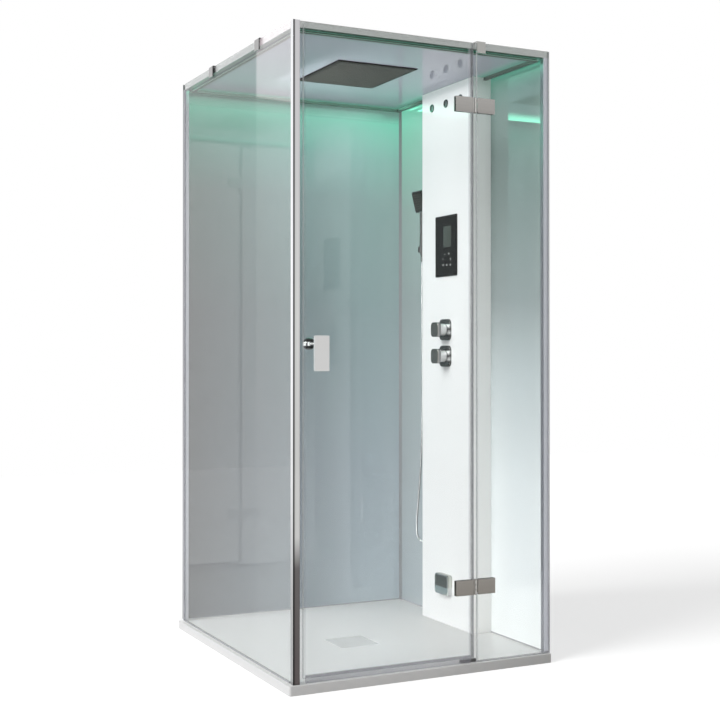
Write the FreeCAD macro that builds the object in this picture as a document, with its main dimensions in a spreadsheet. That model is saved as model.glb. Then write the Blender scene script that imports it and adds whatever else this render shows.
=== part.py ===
import FreeCAD, Part
import math
import os

import Sketcher

# Steam shower cabin, millimetres. +Z is up, -Y is the door side, the column stands on the +X wall.
# The origin is the middle of the tray's underside.

SIZES = {
    # cabin and tray
    "cabin_width": 1000,
    "cabin_length": 1115,
    "cabin_height": 2150,
    "front_inset": 12,
    "side_inset": 17,
    "tray_thick": 31,
    "tray_corner": 8,
    "tray_edge": 2,
    "tray_rim": 42,
    "tray_fall": 7,
    # waste
    "waste_x": -35,
    "waste_y": -50,
    "cover_size": 150,
    "cover_thick": 6,
    "cover_corner": 4,
    "cover_gap": 2.5,
    "well_radius": 60,
    "well_floor": 6,
    "flange_radius": 50,
    "flange_thick": 3,
    "sleeve_outer": 28.5,
    "sleeve_inner": 25,
    "strainer_radius": 27.5,
    "strainer_thick": 1.5,
    "strainer_hole": 3,
    "strainer_ring": 17,
    "strainer_count": 12,
    # panes, panels and frame
    "glass_thick": 8,
    "panel_thick": 8,
    "sill_seal": 5,
    "fit_gap": 0.3,
    "post_width": 24,
    "post_depth": 30,
    "profile_size": 20,
    "profile_wall": 2,
    "rebate_depth": 10,
    "rail_height": 22,
    "rail_depth": 20,
    "corner_strip": 9,
    "ceiling_thick": 4,
    "cornice_width": 12,
    "cornice_height": 11,
    "cornice_wall": 1.6,
    "strip_width": 8,
    "strip_thick": 2,
    # clamps and stop
    "side_clamp_width": 40,
    "front_clamp_width": 34,
    "clamp_height": 40,
    "clamp_wall": 4.5,
    "clamp_corner": 3,
    "front_clamp_in": 14.6,
    "rear_clamp_y": 221,
    "near_clamp_y": -241,
    "stop_length": 60,
    "stop_width": 11,
    "stop_height": 11,
    # door and hinges
    "fixed_pane_width": 298,
    "glass_setback": 8,
    "magnet_gap": 12,
    "seal_wall": 1,
    "seal_lap": 9,
    "fixed_lap": 3,
    "seal_tip": 2,
    "door_rise": 17,
    "fin_height": 16.5,
    "fin_thick": 3,
    "door_top_gap": 4,
    "low_hinge_z": 288,
    "high_hinge_drop": 216,
    "leaf_height": 52,
    "leaf_length": 68,
    "leaf_setback": 9.5,
    "leaf_thick": 4.5,
    "leaf_corner": 1.2,
    "knuckle_radius": 7.5,
    "knuckle_half": 9,
    "knuckle_gap": 0.4,
    "pin_radius": 3,
    "pin_gap": 0.05,
    "notch_length": 16,
    "notch_height": 42,
    "notch_corner": 6,
    "screw_radius": 4.5,
    "screw_rise": 1,
    "screw_spread": 34,
    # pull
    "pull_in": 53,
    "pull_z": 1085,
    "pull_width": 50,
    "pull_height": 114,
    "pull_thick": 12,
    "pull_edge": 1.5,
    "pull_standoff": 17.5,
    "stud_in": 38,
    "stud_z": 1116,
    "stud_radius": 5,
    "washer_radius": 9,
    "washer_thick": 2,
    "knob_neck": 14,
    "knob_ball": 20,
    # column
    "column_depth": 80,
    "column_near": -172,
    "column_far": 218,
    "column_wall": 4,
    "column_fold": 3,
    "fittings_y": 27,
    "chassis_width": 340,
    "chassis_bar": 24,
    "chassis_thick": 12,
    "chassis_low": 120,
    "chassis_high": 2060,
    "chassis_rungs": 6,
    "display_y": 22,
    "display_z": 1504,
    "display_width": 163,
    "display_height": 237,
    "display_proud": 4,
    "display_edge": 1,
    "display_box_depth": 30,
    "display_box_inset": 8,
    "spot_drop": 89,
    "spot_pitch": 109,
    "spot_radius": 16,
    "spot_lens": 11,
    "spot_proud": 3,
    "spot_sleeve": 14,
    "spot_depth": 22,
    # mixer
    "mixer_z": 1126,
    "knob_pitch": 103,
    "rosette_size": 82,
    "rosette_corner": 20,
    "rosette_thick": 8,
    "rosette_edge": 2,
    "knob_reach": 53,
    "knob_stem": 22,
    "knob_cap": 57,
    "knob_cap_thick": 13,
    "knob_cap_corner": 15,
    "knob_cap_edge": 2.5,
    "spindle_radius": 5,
    "spindle_length": 34,
    "mixer_depth": 26,
    "mixer_behind": 26,
    "mixer_width": 46,
    "mixer_height": 178,
    "cartridge_radius": 20,
    "button_size": 12,
    "button_travel": 2.5,
    "button_rise": 5,
    "inlet_pitch": 150,
    "inlet_radius": 10.45,
    "inlet_reach": 20,
    "inlet_collar": 16,
    "inlet_relief": 1,
    # pipes and steam
    "pipe_radius": 8,
    "pipe_wall": 1,
    "pipe_bend": 20,
    "pipe_grommet": 3.5,
    "roof_pipe_rise": 16,
    "tank_near": -150,
    "tank_far": 70,
    "tank_depth": 54,
    "tank_low": 300,
    "tank_high": 600,
    "tank_round": 22,
    "heater_radius": 24,
    "heater_height": 26,
    "outlet_y": 32,
    "outlet_z": 187,
    "outlet_width": 100,
    "outlet_height": 78,
    "outlet_depth": 20,
    "outlet_corner": 10,
    "outlet_edge": 2.5,
    "outlet_wall": 3,
    "outlet_slot": 60,
    # rain head
    "rain_x": 5,
    "rain_y": -8,
    "rain_width": 320,
    "rain_length": 365,
    "rain_flange": 3,
    "rain_lap": 10,
    "rain_box": 7,
    "rain_plate": 2,
    "rain_margin": 4,
    "rain_wall": 2,
    "rain_neck": 14,
    "rain_boss": 6,
    # hand shower and hose
    "hand_in": 55,
    "hand_out": 44,
    "nut_low_z": 1487,
    "nut_low_radius": 9.5,
    "nut_high_z": 1524,
    "nut_high_radius": 13,
    "handle_radius": 11,
    "handle_top_z": 1668,
    "head_width": 80,
    "head_height": 88,
    "head_thick": 15,
    "head_corner": 9,
    "head_tilt": 14,
    "head_overlap": 8,
    "face_margin": 4,
    "face_thick": 2,
    "handle_waist": 10,
    "holder_low_z": 1497,
    "holder_height": 22,
    "holder_wall": 4,
    "holder_slot": 13,
    "holder_arm": 7,
    "holder_plate": 19,
    "holder_plate_thick": 6,
    "union_out": 22,
    "union_z": 640,
    "union_nut_radius": 9,
    "union_nut_length": 22,
    "union_plate": 16,
    "hose_radius": 5,
}

# Route of the hose: the strand that hangs from the union, measured from the union's nut, then the
# strand that rises to the hand shower, measured from the hand shower's nut.
HOSE_DOWN = [
    (0, 0, 0), (0, 0, -95), (2.5, 0, -190), (2, -0.5, -255), (1, 1, -306.5), (-9.8, 32.5, -326),
]
HOSE_UP = [
    (-2.5, 42, -1153.5), (-3.5, 41, -1101), (-3, 34, -1037), (-2, 20, -942), (-1, 6, -827),
    (0, 1, -697), (0.6, -1.5, -557), (0, -2, -417), (-0.5, -1, -277), (0, 0.5, -157),
    (0, 0, -67), (0, 0, 0),
]

doc = FreeCAD.newDocument("steam_shower_cabin")
sheet = doc.addObject("Spreadsheet::Sheet", "sizes")
for row, (alias, number) in enumerate(SIZES.items(), 1):
    sheet.set("A%d" % row, alias)
    sheet.set("B%d" % row, str(number))
    sheet.setAlias("B%d" % row, alias)
doc.recompute()


class Size:
    """A length that carries its formula in the sheet together with its value."""

    def __init__(self, formula, number):
        self.formula = formula
        self.number = number

    def joined(self, sign, other, number):
        formula = other.formula if isinstance(other, Size) else repr(other)
        return Size("(%s %s %s)" % (self.formula, sign, formula), number)

    def __add__(self, other):
        return self.joined("+", other, self.number + float(other))

    def __sub__(self, other):
        return self.joined("-", other, self.number - float(other))

    def __mul__(self, other):
        return self.joined("*", other, self.number * float(other))

    def __truediv__(self, other):
        return self.joined("/", other, self.number / float(other))

    def __neg__(self):
        return Size("(0 - %s)" % self.formula, -self.number)

    def __float__(self):
        return float(self.number)


class Sheet:
    """Every cell of the sheet by its alias."""


s = Sheet()
for alias in SIZES:
    setattr(s, alias, Size("sizes." + alias, float(sheet.get(alias))))

PARTS = []
ZERO = s.cabin_width * 0


def bind(thing, path, length):
    """Ties one property of an object to the sheet."""
    if isinstance(length, Size):
        thing.setExpression(path, length.formula)
    else:
        thing.setExpression(path, repr(float(length)))


def place(thing, x, y, z):
    for letter, length in (("x", x), ("y", y), ("z", z)):
        bind(thing, "Placement.Base." + letter, length)
    return thing


def keep(thing, label):
    """Marks an object as a sub-part: its label names its file."""
    thing.Label = label
    PARTS.append(thing)
    return thing


# ---- part primitives -------------------------------------------------------------------------

def block(name, x, y, z):
    """A box between two places on each axis."""
    box = doc.addObject("Part::Box", name)
    bind(box, "Length", x[1] - x[0])
    bind(box, "Width", y[1] - y[0])
    bind(box, "Height", z[1] - z[0])
    return place(box, x[0], y[0], z[0])


TURNS = {
    "x": FreeCAD.Rotation(FreeCAD.Vector(0, 1, 0), 90),
    "y": FreeCAD.Rotation(FreeCAD.Vector(1, 0, 0), -90),
    "z": FreeCAD.Rotation(),
}


def rod(name, axis, start, radius, length):
    """A cylinder that runs from a point along one axis."""
    cylinder = doc.addObject("Part::Cylinder", name)
    bind(cylinder, "Radius", radius)
    bind(cylinder, "Height", length)
    cylinder.Placement = FreeCAD.Placement(FreeCAD.Vector(), TURNS[axis])
    return place(cylinder, *start)


def fuse(name, shapes):
    joined = doc.addObject("Part::MultiFuse", name)
    joined.Shapes = shapes
    joined.Refine = True
    return joined


def cut(name, base, tool):
    result = doc.addObject("Part::Cut", name)
    result.Base = base
    result.Tool = tool
    result.Refine = True
    return result


def group(name, members):
    """Separate solids that share one sub-part."""
    compound = doc.addObject("Part::Compound", name)
    compound.Links = members
    return keep(compound, name)


# ---- sketched bodies -------------------------------------------------------------------------

NORMAL_SIGN = {"XY": 1, "XZ": -1, "YZ": 1}


def body(name):
    return doc.addObject("PartDesign::Body", name)


def sketch(owner, name, plane, height=0):
    """A sketch on one of the body's own origin planes, raised to a height on its axis."""
    drawing = owner.newObject("Sketcher::SketchObject", name)
    role = plane + "_Plane"
    drawing.AttachmentSupport = [(f, "") for f in owner.Origin.OriginFeatures if f.Role == role]
    drawing.MapMode = "FlatFace"
    if isinstance(height, Size):
        bind(drawing, "AttachmentOffset.Base.z", height * NORMAL_SIGN[plane])
    return drawing


def fix(drawing, geometry, point, x, y):
    """Dimensions one point of a sketch from the sketch's origin."""
    for kind, axis, length in (("DistanceX", -2, x), ("DistanceY", -1, y)):
        if float(length) == 0:
            drawing.addConstraint(Sketcher.Constraint("PointOnObject", geometry, point, axis))
        else:
            number = drawing.addConstraint(
                Sketcher.Constraint(kind, -1, 1, geometry, point, float(length)))
            bind(drawing, "Constraints[%d]" % number, length)


def polygon(drawing, points):
    first = drawing.GeometryCount
    count = len(points)
    for i in range(count):
        ends = [FreeCAD.Vector(float(points[j % count][0]), float(points[j % count][1]), 0)
                for j in (i, i + 1)]
        drawing.addGeometry(Part.LineSegment(*ends), False)
    for i in range(count):
        after = first + (i + 1) % count
        drawing.addConstraint(Sketcher.Constraint("Coincident", first + i, 2, after, 1))
    for i in range(count):
        fix(drawing, first + i, 1, *points[i])


def rectangle(drawing, x, y):
    polygon(drawing, [(x[0], y[0]), (x[1], y[0]), (x[1], y[1]), (x[0], y[1])])


def circle(drawing, x, y, radius):
    centre = FreeCAD.Vector(float(x), float(y), 0)
    index = drawing.addGeometry(Part.Circle(centre, FreeCAD.Vector(0, 0, 1), float(radius)), False)
    number = drawing.addConstraint(Sketcher.Constraint("Radius", index, float(radius)))
    bind(drawing, "Constraints[%d]" % number, radius)
    fix(drawing, index, 3, x, y)


def pad(owner, name, drawing, length):
    """Adds material from the sketch towards the plane's positive normal."""
    feature = owner.newObject("PartDesign::Pad", name)
    feature.Profile = drawing
    bind(feature, "Length", length)
    return feature


def pocket(owner, name, drawing, length, up=False):
    """Cuts against the plane's normal, or along it when up is set."""
    feature = owner.newObject("PartDesign::Pocket", name)
    feature.Profile = drawing
    bind(feature, "Length", length)
    feature.Reversed = up
    return feature


def revolve(owner, name, drawing, kind="PartDesign::Revolution", axis="V_Axis"):
    feature = owner.newObject(kind, name)
    feature.Profile = drawing
    feature.ReferenceAxis = (drawing, [axis])
    feature.Angle = 360
    return feature


def straight_edges(feature, axis, keep_edge=None):
    """Names of the straight edges along an axis, those that keep_edge accepts by their middle."""
    doc.recompute()
    direction = {"x": (1, 0, 0), "y": (0, 1, 0), "z": (0, 0, 1)}[axis]
    names = []
    for number, edge in enumerate(feature.Shape.Edges, 1):
        if not isinstance(edge.Curve, Part.Line):
            continue
        if abs(edge.Curve.Direction.dot(FreeCAD.Vector(*direction))) < 0.999:
            continue
        middle = edge.valueAt((edge.FirstParameter + edge.LastParameter) / 2)
        if keep_edge is None or keep_edge(middle):
            names.append("Edge%d" % number)
    return names


def edges_at(feature, axis, height):
    """Names of the edges that lie wholly at one height on an axis."""
    doc.recompute()
    names = []
    for number, edge in enumerate(feature.Shape.Edges, 1):
        box = edge.BoundBox
        low = {"x": box.XMin, "y": box.YMin, "z": box.ZMin}[axis]
        high = {"x": box.XMax, "y": box.YMax, "z": box.ZMax}[axis]
        if abs(low - float(height)) < 0.01 and abs(high - float(height)) < 0.01:
            names.append("Edge%d" % number)
    return names


def dress(owner, kind, name, base, edges, amount):
    """A fillet or chamfer on named edges."""
    feature = owner.newObject("PartDesign::" + kind, name)
    feature.Base = (base, edges)
    bind(feature, "Radius" if kind == "Fillet" else "Size", amount)
    return feature


def rounded_plate(name, at, plane, width, height, thick, corner, edge, soft="end"):
    """A plate centred on its own origin, with round corners. The soft face is its start or end."""
    plate = body(name)
    outline = sketch(plate, name + "_outline", plane)
    rectangle(outline, (width / -2, width / 2), (height / -2, height / 2))
    solid = pad(plate, name + "_pad", outline, thick)
    across = {"XY": "z", "XZ": "y", "YZ": "x"}[plane]
    solid = dress(plate, "Fillet", name + "_corners", solid, straight_edges(solid, across), corner)
    face = thick * NORMAL_SIGN[plane] if soft == "end" else ZERO
    dress(plate, "Fillet", name + "_edge", solid, edges_at(solid, across, face), edge)
    return place(plate, *at)


# ---- places that several pieces share --------------------------------------------------------

half_width = s.cabin_width / 2
half_length = s.cabin_length / 2
front_face = s.front_inset - half_length
front_back = front_face + s.glass_thick
front_middle = front_face + s.glass_thick / 2
side_face = s.side_inset - half_width
side_back = side_face + s.glass_thick
right_wall = half_width - s.panel_thick
back_wall = half_length - s.panel_thick
pane_low = s.tray_thick + s.sill_seal
rail_low = s.cabin_height - s.rail_height
ceiling_low = rail_low + s.fit_gap
post_inner = side_face + s.post_width
post_back = front_face + s.post_depth
column_face = right_wall - s.column_depth
behind_face = column_face + s.column_wall
mixer_front = behind_face + s.mixer_behind
riser_x = mixer_front + s.mixer_depth / 2
riser_y = s.fittings_y - s.mixer_width / 4
fixed_edge = half_width - s.fixed_pane_width
hinge_x = fixed_edge - s.glass_setback
door_edge = hinge_x - s.glass_setback
high_hinge_z = s.cabin_height - s.high_hinge_drop
front_clamp_x = fixed_edge + s.front_clamp_in
door_free_edge = post_inner + s.magnet_gap
pull_x = door_free_edge + s.pull_in
stud_x = door_free_edge + s.stud_in
door_low = s.tray_thick + s.door_rise
front_rail_back = front_back + s.rail_depth
left_rail_back = side_back + s.rail_depth
back_rail_front = back_wall - s.rail_depth
right_rail_front = right_wall - s.rail_depth


# ---- tray and waste --------------------------------------------------------------------------

def shower_tray():
    """Cast slab: four planes fall from the rim to the waste, with a ledge for the cover."""
    tray = body("shower_tray")
    outline = sketch(tray, "tray_outline", "XY")
    rectangle(outline, (-half_width, half_width), (-half_length, half_length))
    slab = pad(tray, "tray_slab", outline, s.tray_thick)
    slab = dress(tray, "Fillet", "tray_corners", slab, straight_edges(slab, "z"), s.tray_corner)
    top = edges_at(slab, "z", s.tray_thick)
    dress(tray, "Fillet", "tray_top_edge", slab, top, s.tray_edge)
    opening = s.cover_size / 2 + s.cover_gap
    floor = s.tray_thick - s.tray_fall
    rim = sketch(tray, "basin_rim", "XY", s.tray_thick)
    rectangle(rim, (s.tray_rim - half_width, column_face - s.tray_rim / 2),
              (s.tray_rim - half_length, half_length - s.tray_rim))
    foot = sketch(tray, "basin_foot", "XY", floor)
    rectangle(foot, (s.waste_x - opening, s.waste_x + opening),
              (s.waste_y - opening, s.waste_y + opening))
    basin = tray.newObject("PartDesign::SubtractiveLoft", "basin")
    basin.Profile = rim
    basin.Sections = [foot]
    basin.Ruled = True
    recess = sketch(tray, "cover_recess", "XY", floor)
    rectangle(recess, (s.waste_x - opening, s.waste_x + opening),
              (s.waste_y - opening, s.waste_y + opening))
    pocket(tray, "cover_ledge", recess, s.cover_thick)
    well = sketch(tray, "well_circle", "XY", floor)
    circle(well, s.waste_x, s.waste_y, s.well_radius)
    pocket(tray, "well", well, floor - s.well_floor)
    hole = sketch(tray, "sleeve_circle", "XY", floor)
    circle(hole, s.waste_x, s.waste_y, s.sleeve_outer + s.fit_gap)
    pocket(tray, "sleeve_hole", hole, floor)
    keep(tray, "shower_tray")


def waste():
    """Flange with its sleeve, a lift-out strainer in it, and the square cover."""
    flange = body("drain_flange")
    section = sketch(flange, "flange_section", "XZ")
    top = s.well_floor + s.flange_thick
    seat = top - s.strainer_thick
    recess = s.strainer_radius + s.fit_gap
    polygon(section, [(s.sleeve_inner, ZERO), (s.sleeve_outer, ZERO),
                      (s.sleeve_outer, s.well_floor), (s.flange_radius, s.well_floor),
                      (s.flange_radius, top), (recess, top), (recess, seat),
                      (s.sleeve_inner, seat)])
    revolve(flange, "flange_turned", section)
    keep(place(flange, s.waste_x, s.waste_y, ZERO), "drain_flange")

    strainer = body("drain_strainer")
    disc = sketch(strainer, "strainer_circle", "XY")
    circle(disc, ZERO, ZERO, s.strainer_radius)
    plate = pad(strainer, "strainer_disc", disc, s.strainer_thick)
    hole = sketch(strainer, "strainer_hole_circle", "XY")
    circle(hole, s.strainer_ring, ZERO, s.strainer_hole)
    first = pocket(strainer, "strainer_hole_first", hole, s.strainer_thick, up=True)
    ring = strainer.newObject("PartDesign::PolarPattern", "strainer_holes")
    ring.Originals = [first]
    ring.Axis = (hole, ["N_Axis"])
    ring.Angle = 360
    ring.Occurrences = round(float(s.strainer_count))
    strainer.Tip = ring
    keep(place(strainer, s.waste_x, s.waste_y, seat), "drain_strainer")

    floor = s.tray_thick - s.tray_fall
    cover = rounded_plate("drain_cover_plate", (s.waste_x, s.waste_y, floor - s.cover_thick), "XY",
                          s.cover_size, s.cover_size, s.cover_thick, s.cover_corner, s.tray_edge / 2)
    keep(cover, "drain_cover")


# ---- frame -----------------------------------------------------------------------------------

def upright(name, at, width, depth, low, high, rebate):
    """Hollow aluminium upright. A rebate in its back left corner takes the side pane."""
    profile = body(name)
    section = sketch(profile, name + "_section", "XY")
    wall = s.profile_wall
    if rebate:
        step = s.glass_thick + s.fit_gap
        lip = depth - s.rebate_depth
        polygon(section, [(ZERO, ZERO), (width, ZERO), (width, depth), (step, depth),
                          (step, lip), (ZERO, lip)])
        rectangle(section, (step + wall, width - wall), (wall, depth - wall))
    else:
        rectangle(section, (ZERO, width), (ZERO, depth))
        rectangle(section, (wall, width - wall), (wall, depth - wall))
    solid = pad(profile, name + "_pad", section, high - low)
    outer = straight_edges(solid, "z", lambda p: p.y < 0.01)
    dress(profile, "Fillet", name + "_edges", solid, outer, wall / 2)
    keep(place(profile, at[0], at[1], low), name)


def uprights():
    upright("front_left_post", (side_face, front_face), s.post_width, s.post_depth,
            s.tray_thick, s.cabin_height, True)
    size = s.profile_size
    back_left = body("back_left_profile")
    section = sketch(back_left, "back_left_section", "XY")
    step = s.glass_thick + s.fit_gap
    wall = s.profile_wall
    polygon(section, [(step, ZERO), (size, ZERO), (size, size), (ZERO, size),
                      (ZERO, s.rebate_depth), (step, s.rebate_depth)])
    rectangle(section, (step + wall, size - wall), (wall, size - wall))
    pad(back_left, "back_left_pad", section, rail_low - s.tray_thick)
    keep(place(back_left, side_face, back_wall - size, s.tray_thick), "back_left_profile")
    upright("front_right_profile", (half_width - size, front_back), size, size,
            s.tray_thick, rail_low, False)
    strip = body("inner_corner_strip")
    section = sketch(strip, "corner_strip_section", "XY")
    leg = s.corner_strip
    polygon(section, [(-leg, ZERO), (ZERO, -leg), (ZERO, ZERO)])
    pad(strip, "corner_strip_pad", section, rail_low - pane_low)
    keep(place(strip, right_wall, back_wall, pane_low), "inner_corner_strip")


def rail(name, plane, low, high, at):
    """Hollow square rail along X (section on YZ) or along Y (section on XZ)."""
    bar = body(name)
    section = sketch(bar, name + "_section", plane)
    wall = s.profile_wall
    rectangle(section, (ZERO, s.rail_depth), (ZERO, s.rail_height))
    rectangle(section, (wall, s.rail_depth - wall), (wall, s.rail_height - wall))
    pad(bar, name + "_pad", section, high - low)
    return place(bar, *at)


def rails():
    """Square tubes behind the tops of the panes carry the ceiling."""
    front = rail("front_rail", "YZ", post_inner, half_width, (post_inner, front_back, rail_low))
    keep(front, "top_rail_front")
    left = rail("left_rail", "XZ", post_back, back_wall, (side_back, back_wall, rail_low))
    keep(left, "top_rail_left")
    back = rail("back_rail", "YZ", left_rail_back, right_rail_front,
                (left_rail_back, back_rail_front, rail_low))
    right = rail("right_rail", "XZ", front_rail_back, back_wall,
                 (right_rail_front, back_wall, rail_low))
    group("wall_top_rails", [back, right])


def ceiling():
    """Flat panel between the rails, cut out for the rain head and the water pipe."""
    panel = body("ceiling_panel")
    outline = sketch(panel, "ceiling_outline", "XY")
    rectangle(outline, (left_rail_back, right_rail_front), (front_rail_back, back_rail_front))
    pad(panel, "ceiling_pad", outline, s.ceiling_thick)
    holes = sketch(panel, "ceiling_holes", "XY")
    half_x = s.rain_width / 2 - s.rain_lap + s.fit_gap
    half_y = s.rain_length / 2 - s.rain_lap + s.fit_gap
    rectangle(holes, (s.rain_x - half_x, s.rain_x + half_x), (s.rain_y - half_y, s.rain_y + half_y))
    circle(holes, riser_x, riser_y, s.pipe_radius + s.pipe_grommet)
    pocket(panel, "ceiling_cut", holes, s.ceiling_thick, up=True)
    keep(place(panel, ZERO, ZERO, ceiling_low), "ceiling_panel")


def cornice_bar(name, plane, mirror, length, at):
    """L-shaped light profile: a foot towards the wall and a web up to the ceiling."""
    bar = body(name)
    section = sketch(bar, name + "_section", plane)
    wide = s.cornice_width
    high = s.cornice_height
    wall = s.cornice_wall
    points = [(ZERO, ZERO), (wide, ZERO), (wide, high), (wide - wall, high), (wide - wall, wall),
              (ZERO, wall)]
    if mirror:
        points = [(wide - x, y) for x, y in points]
    polygon(section, points)
    pad(bar, name + "_pad", section, length)
    return place(bar, *at)


def cornice():
    """Light profiles round the ceiling's edge, each with a light strip on its foot.

    The right one is in two lengths, one each side of the column.
    """
    low = ceiling_low - s.cornice_height
    wide = s.cornice_width
    x = (left_rail_back, right_rail_front)
    y = (front_rail_back, back_rail_front)
    top = low + s.cornice_wall
    level = (top, top + s.strip_thick)
    thin = s.strip_width
    bars = [
        cornice_bar("cornice_front", "YZ", False, x[1] - x[0], (x[0], y[0], low)),
        cornice_bar("cornice_back", "YZ", True, x[1] - x[0], (x[0], y[1] - wide, low)),
    ]
    strips = [
        block("strip_front", x, (y[0], y[0] + thin), level),
        block("strip_back", x, (y[1] - thin, y[1]), level),
    ]
    sides = (
        ("left", False, x[0], y[0] + wide, y[1] - wide),
        ("right_near", True, x[1] - wide, y[0] + wide, s.column_near - s.fit_gap),
        ("right_far", True, x[1] - wide, s.column_far + s.fit_gap, y[1] - wide),
    )
    for name, mirror, at_x, start, end in sides:
        bars.append(cornice_bar("cornice_" + name, "XZ", mirror, end - start, (at_x, end, low)))
        inset = wide - thin if mirror else ZERO
        strips.append(block("strip_" + name, (at_x + inset, at_x + inset + thin), (start, end), level))
    group("light_cornice", bars)
    group("light_strips", strips)


# ---- panes and panels ------------------------------------------------------------------------

def walls():
    """Glossy opaque panels. The right one lets the two water inlets through."""
    back = block("back_panel", (side_face, half_width), (back_wall, half_length),
                 (pane_low, s.cabin_height))
    keep(back, "back_wall_panel")
    right = body("right_wall_panel")
    outline = sketch(right, "right_panel_outline", "YZ")
    rectangle(outline, (front_back + s.profile_size, back_wall), (pane_low, s.cabin_height))
    for side in (-1, 1):
        circle(outline, s.fittings_y + s.inlet_pitch / 2 * side, s.mixer_z,
               s.inlet_radius + s.fit_gap)
    pad(right, "right_panel_pad", outline, s.panel_thick)
    keep(place(right, right_wall, ZERO, ZERO), "right_wall_panel")


def notch(owner, name, edge, towards, height):
    """Rounded cut-out in a pane's edge for the middle of a hinge."""
    reach = s.notch_length * towards
    outside = s.notch_corner * -2 * towards
    outline = sketch(owner, name + "_outline", "XZ")
    half = s.notch_height / 2
    xs = [edge + outside, edge + reach]
    if towards < 0:
        xs.reverse()
    rectangle(outline, xs, (height - half, height + half))
    return outline


def pane(name, plane, outline, cuts, at):
    """A glass pane drawn on its plane; cuts are sketches made by the functions given."""
    glass = body(name)
    drawing = sketch(glass, name + "_outline", plane)
    rectangle(drawing, *outline)
    solid = pad(glass, name + "_pad", drawing, s.glass_thick)
    for number, make in enumerate(cuts):
        solid = pocket(glass, "%s_cut_%d" % (name, number), make(glass), s.glass_thick, up=True)
    inner = straight_edges(solid, "y", notch_corner_test(outline)) if cuts else []
    if inner:
        dress(glass, "Fillet", name + "_notches", solid, inner, s.notch_corner)
    return place(glass, *at)


def notch_corner_test(outline):
    """True for an edge that isn't at the pane's own border."""
    (x_low, x_high), (z_low, z_high) = outline

    def inside(point):
        return all(abs(a - float(b)) > 0.01 for a, b in (
            (point.x, x_low), (point.x, x_high), (point.z, z_low), (point.z, z_high)))
    return inside


def panes():
    """Side pane, fixed front pane and door pane. The front ones are notched for the hinges."""
    side = block("side_pane", (side_face, side_back),
                 (post_back - s.rebate_depth + s.fit_gap,
                  back_wall - s.profile_size + s.rebate_depth - s.fit_gap),
                 (pane_low, s.cabin_height))
    keep(side, "side_glass")
    at = (ZERO, front_back, ZERO)
    fixed_outline = ((fixed_edge, half_width), (pane_low, s.cabin_height))
    fixed = pane("fixed_pane", "XZ", fixed_outline, [
        lambda owner: notch(owner, "fixed_low_notch", fixed_edge, 1, s.low_hinge_z),
        lambda owner: notch(owner, "fixed_high_notch", fixed_edge, 1, high_hinge_z)], at)
    keep(fixed, "fixed_front_glass")

    def stud_hole(owner):
        drawing = sketch(owner, "stud_hole_circle", "XZ")
        circle(drawing, stud_x, s.stud_z, s.stud_radius + s.fit_gap)
        return drawing

    door_outline = ((door_free_edge, door_edge), (door_low, s.cabin_height - s.door_top_gap))
    door = pane("door_pane", "XZ", door_outline, [
        lambda owner: notch(owner, "door_low_notch", door_edge, -1, s.low_hinge_z),
        lambda owner: notch(owner, "door_high_notch", door_edge, -1, high_hinge_z),
        stud_hole], at)
    keep(door, "door_glass")


# ---- seals -----------------------------------------------------------------------------------

def sill_seals():
    """Soft strips on which every pane and panel stands."""
    level = (s.tray_thick, pane_low)
    strips = [
        block("back_sill", (side_face + s.profile_size, half_width), (back_wall, half_length), level),
        block("right_sill", (right_wall, half_width), (front_back + s.profile_size, back_wall), level),
        block("side_sill", (side_face, side_back),
              (post_back + s.fit_gap, back_wall - s.profile_size - s.fit_gap), level),
        block("front_sill", (fixed_edge, half_width), (front_face, front_back), level),
    ]
    group("sill_seals", strips)


def edge_seal(name, towards, edge, tip, lap, low, high):
    """Upright seal that hugs a pane's edge: two lips and a bulb, towards is +1 or -1 in X."""
    seal = body(name)
    section = sketch(seal, name + "_section", "XY")
    lip = s.glass_thick / 2 + s.seal_wall
    inner = s.glass_thick / 2
    tail = -lap
    points = [(tip, -inner), (tip, inner), (ZERO, lip), (tail, lip), (tail, inner), (ZERO, inner),
              (ZERO, -inner), (tail, -inner), (tail, -lip), (ZERO, -lip)]
    if towards < 0:
        points = [(-x, y) for x, y in points]
    polygon(section, points)
    pad(seal, name + "_pad", section, high - low)
    return place(seal, edge, front_middle, low)


def hinge_side_seals(name, towards, edge, lap, low, high):
    """Three lengths of edge seal, which leave room for the two hinges."""
    clear = s.leaf_height / 2 + s.fit_gap
    ends = [low, s.low_hinge_z - clear, s.low_hinge_z + clear, high_hinge_z - clear,
            high_hinge_z + clear, high]
    lengths = [edge_seal("%s_%d" % (name, i), towards, edge, s.seal_tip, lap,
                         ends[2 * i], ends[2 * i + 1]) for i in range(3)]
    group(name, lengths)


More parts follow.
